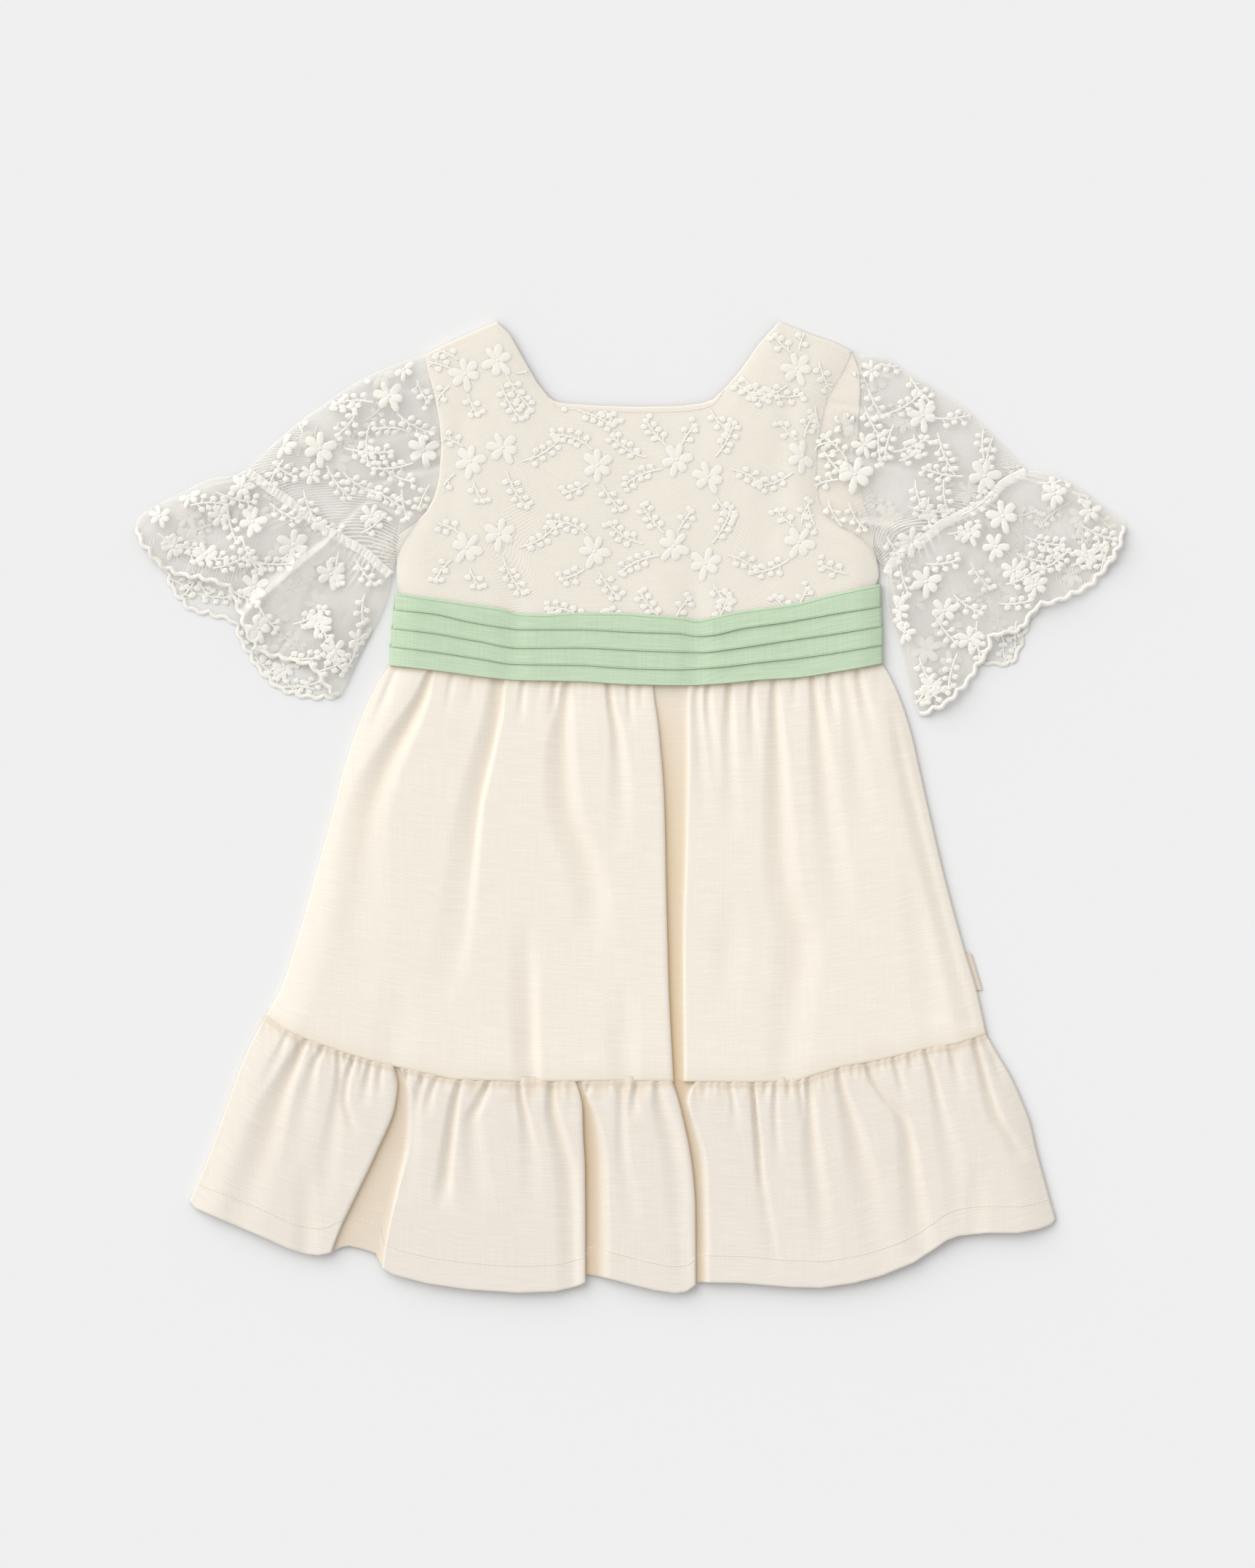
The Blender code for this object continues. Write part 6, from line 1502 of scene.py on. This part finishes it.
# %% [markdown]
# ## Corded scallops
# The flounce's edge is worked over a cord in close satin stitch, which keeps it from fraying.

# %% Cords along the scallops


def edge_cord(name, needle_height, hem, inward):
    """The cord of one layer's scallops, a little inside its edge."""
    needle = Needle(needle_height)
    line = hem + leftward(hem) * inward
    near = np.round(line[::2], 4)
    steps = np.linalg.norm(np.diff(near, axis=0), axis=1)
    needle.cord(near[np.concatenate([[True], steps > 0.2])], 2.3, 0.5, 0.0)
    return needle.finish(name, embroidery_thread)


cords = []
for side, flounce, hem, hem_back, inward in (
        ("right", flounce_right, hem_right, hem_right_back, 1.3),
        ("left", flounce_left, hem_left, hem_left_back, -1.3)):
    cords.append(edge_cord(side + "_scallops", surface_under(flounce), hem, inward))
    cords.append(edge_cord(side + "_scallops_below", surface_under(flounce, lowest=True), hem_back, inward))

# %% [markdown]
# ## Side label
# A short ribbon, folded in half and caught in the left side seam, so two layers stick out 3 mm.
# It carries nothing here. One grid runs out along the upper layer, round the fold and back.

# %% A folded ribbon in the seam
label_y = np.linspace(-80.5, -100.5, 12)
label_seam = np.interp(-label_y, [-y for x, y in SKIRT_LEFT_EDGE], [x for x, y in SKIRT_LEFT_EDGE])
RIBBON = ((-1.5, 0.92), (1.0, 0.94), (2.6, 0.96), (3.1, 0.85), (3.25, 0.62), (3.1, 0.40), (2.6, 0.30),
          (1.0, 0.28), (-1.5, 0.28))
side_label = cloth("side_ribbon", np.stack([
    np.stack([label_seam + out, label_y, label_y * 0 + high], axis=-1) for out, high in RIBBON]),
    ribbon, nodes=["side_label"])

# %% [markdown]
# ## Machine stitching
# Rows of small stitches hold the hem 15 mm above its edge, the sash along its upper edge, and the
# bodice along its neckline. A lockstitch shows as short raised threads with a gap between, each
# sunk a little at its ends, so every stitch is one short cord laid on the cloth.

# %% Rows of stitches


def stitch_rows(name, piece, lines, material, slot, pitch=2.5, wide=0.55):
    needle = Needle(surface_under(piece))
    for line in lines:
        line = np.asarray(line, float)
        steps = np.linalg.norm(np.diff(line, axis=0), axis=1)
        count = int(steps.sum() / pitch)
        for k in range(count):
            ends = along(line, np.array([k + 0.12, k + 0.5, k + 0.86]) / count)
            needle.cord(ends, wide, 0.22)
    return needle.finish(name, material, slot)


def lowered(outline, by, first, last, count=120):
    x = np.linspace(first, last, count)
    return np.stack([x, height_at(outline, x) - by], axis=-1)


hem_stitches = stitch_rows("hem_stitches", hem_flounce, [lowered(HEM, -HEM_DEPTH, -238.0, 229.0, 300)],
                           sewing_thread, "linen")
sash_stitches = stitch_rows(
    "sash_stitches", sash_front,
    [lowered(SASH_TOP, 1.2, -129.0, 136.0)] + [lowered(line, -0.9, -130.0, 136.0) for line in
                                               (TUCK_1, TUCK_2, TUCK_3)], mint_thread, "sash", 2.2, 0.4)
neck_line = np.asarray([(x + (2.4 if x < -45 else -2.4 if x > 45 else 0.0), y - 2.6)
                        for x, y in BODICE_TOP if -74 < x < 78 and y < 262])
neck_stitches = stitch_rows("neck_stitches", bodice_net, [neck_line], bodice_thread, "lace", 2.5, 0.35)

# %% [markdown]
# ## The cut of each piece
# Every piece was flat before it was gathered and sewn. Its flat size says how much cloth it
# takes: a quarter more than the skirt's lower edge in a flounce, two widths of net in a tube. The
# stitches, cords and embroidery on a piece go with it.

# %% Flat sizes in metres
SHEETS = (
    (skirt_back, (0.43, 0.238), "laid", [], 0.098, []),
    (flounce_back, (0.51, 0.125), "gathered", [skirt_back], None, []),
    (bodice_back, (0.27, 0.162), "laid", [], 0.032, []),
    (sash_back, (0.271, 0.042), "laid", [bodice_back], None, []),
    (skirt_front, (0.43, 0.238), "gathered", [skirt_back], 0.098, []),
    (hem_flounce, (0.51, 0.125), "gathered", [flounce_back, skirt_front], None, [hem_stitches]),
    (bodice_front, (0.27, 0.192), "laid", [bodice_back], 0.038, []),
    (bodice_net, (0.27, 0.192), "laid", [bodice_front], 0.038, [bodice_embroidery, neck_stitches]),
    (sash_front, (0.271, 0.064), "folded", [bodice_front, skirt_front], None, [sash_stitches]),
    (sleeve_right, (0.20, 0.095), "gathered", [bodice_front], 0.0165, []),
    (sleeve_left, (0.20, 0.095), "gathered", [bodice_front, bodice_back], 0.0165, []),
    (flounce_right, (0.37, 0.075), "gathered", [sleeve_right], None,
     [sprays_right, sprays_right_below] + cords[:2]),
    (flounce_left, (0.37, 0.075), "gathered", [sleeve_left], None,
     [sprays_left, sprays_left_below] + cords[2:]),
    (band_right, (0.09, 0.011), "gathered", [sleeve_right], 0.0005, []),
    (band_left, (0.09, 0.011), "gathered", [sleeve_left], 0.0005, []),
    (side_label, (0.0204, 0.0102), "folded", [skirt_back], None, []))
for piece, flat, held, rests_on, area, going_with in SHEETS:
    [one.name for one in rests_on]
    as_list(going_with)
whole_cut = sum(area or flat[0] * flat[1] for piece, flat, held, rests_on, area, going_with in SHEETS)
print(f"{len(SHEETS)} sheets of cloth, {whole_cut:.3f} square metres")

# %% [markdown]
# ## Table, light and camera
# The picture was taken from straight above, on a plain pale ground, under soft light from the
# upper left that leaves a shadow a few millimetres wide. A sun lamp with a wide angle gives that
# light evenly over the whole table, the pale world fills the rest, and a long lens keeps the
# dress free of perspective.

# %% Table, lamp, sky and camera
bpy.context.scene.view_settings.view_transform = "Standard"
PHOTO_MM = 0.4
PHOTO_WIDE, PHOTO_HIGH = 1725, 2156
SEEN_MIDDLE = (-2.2, 12.8)
LENS, LONG_SIDE = 200.0, 36.0

table_mesh = bpy.data.meshes.new("table")
table_mesh.from_pydata([(-3, -3, 0), (3, -3, 0), (3, 3, 0), (-3, 3, 0)], [], [(0, 1, 2, 3)])
table_top = Finish("pale table", 0.9)
table_top.shader.inputs["Base Color"].default_value = (0.80, 0.80, 0.80, 1.0)
table_mesh.materials.append(table_top.material)
table = bpy.data.objects.new("table", table_mesh)
table.location.z = -0.0002
bpy.context.scene.collection.objects.link(table)

lamp = bpy.data.lights.new("window light", "SUN")
lamp.energy, lamp.angle = 2.25, math.radians(70.0)
lamp_stand = bpy.data.objects.new("window light", lamp)
lamp_stand.location = (-1.45, 1.25, 1.35)
lamp_stand.rotation_euler = (-lamp_stand.location).to_track_quat("-Z", "Y").to_euler()
bpy.context.scene.collection.objects.link(lamp_stand)

sky = bpy.data.worlds.new("pale room")
sky.use_nodes = True
sky.node_tree.nodes["Background"].inputs["Color"].default_value = (1.0, 1.0, 1.0, 1.0)
sky.node_tree.nodes["Background"].inputs["Strength"].default_value = 0.67
bpy.context.scene.world = sky

# the sensor's width lies along the picture's long side
lens = bpy.data.cameras.new("camera")
lens.lens, lens.sensor_width = LENS, LONG_SIDE
camera = bpy.data.objects.new("camera", lens)
high = PHOTO_HIGH * PHOTO_MM * MM * LENS / LONG_SIDE
camera.location = (SEEN_MIDDLE[0] * MM, SEEN_MIDDLE[1] * MM, high)
bpy.context.scene.collection.objects.link(camera)
bpy.context.scene.camera = camera
print(f"camera {high:.2f} m up, seeing {PHOTO_WIDE * PHOTO_MM:.0f} x {PHOTO_HIGH * PHOTO_MM:.0f} mm")
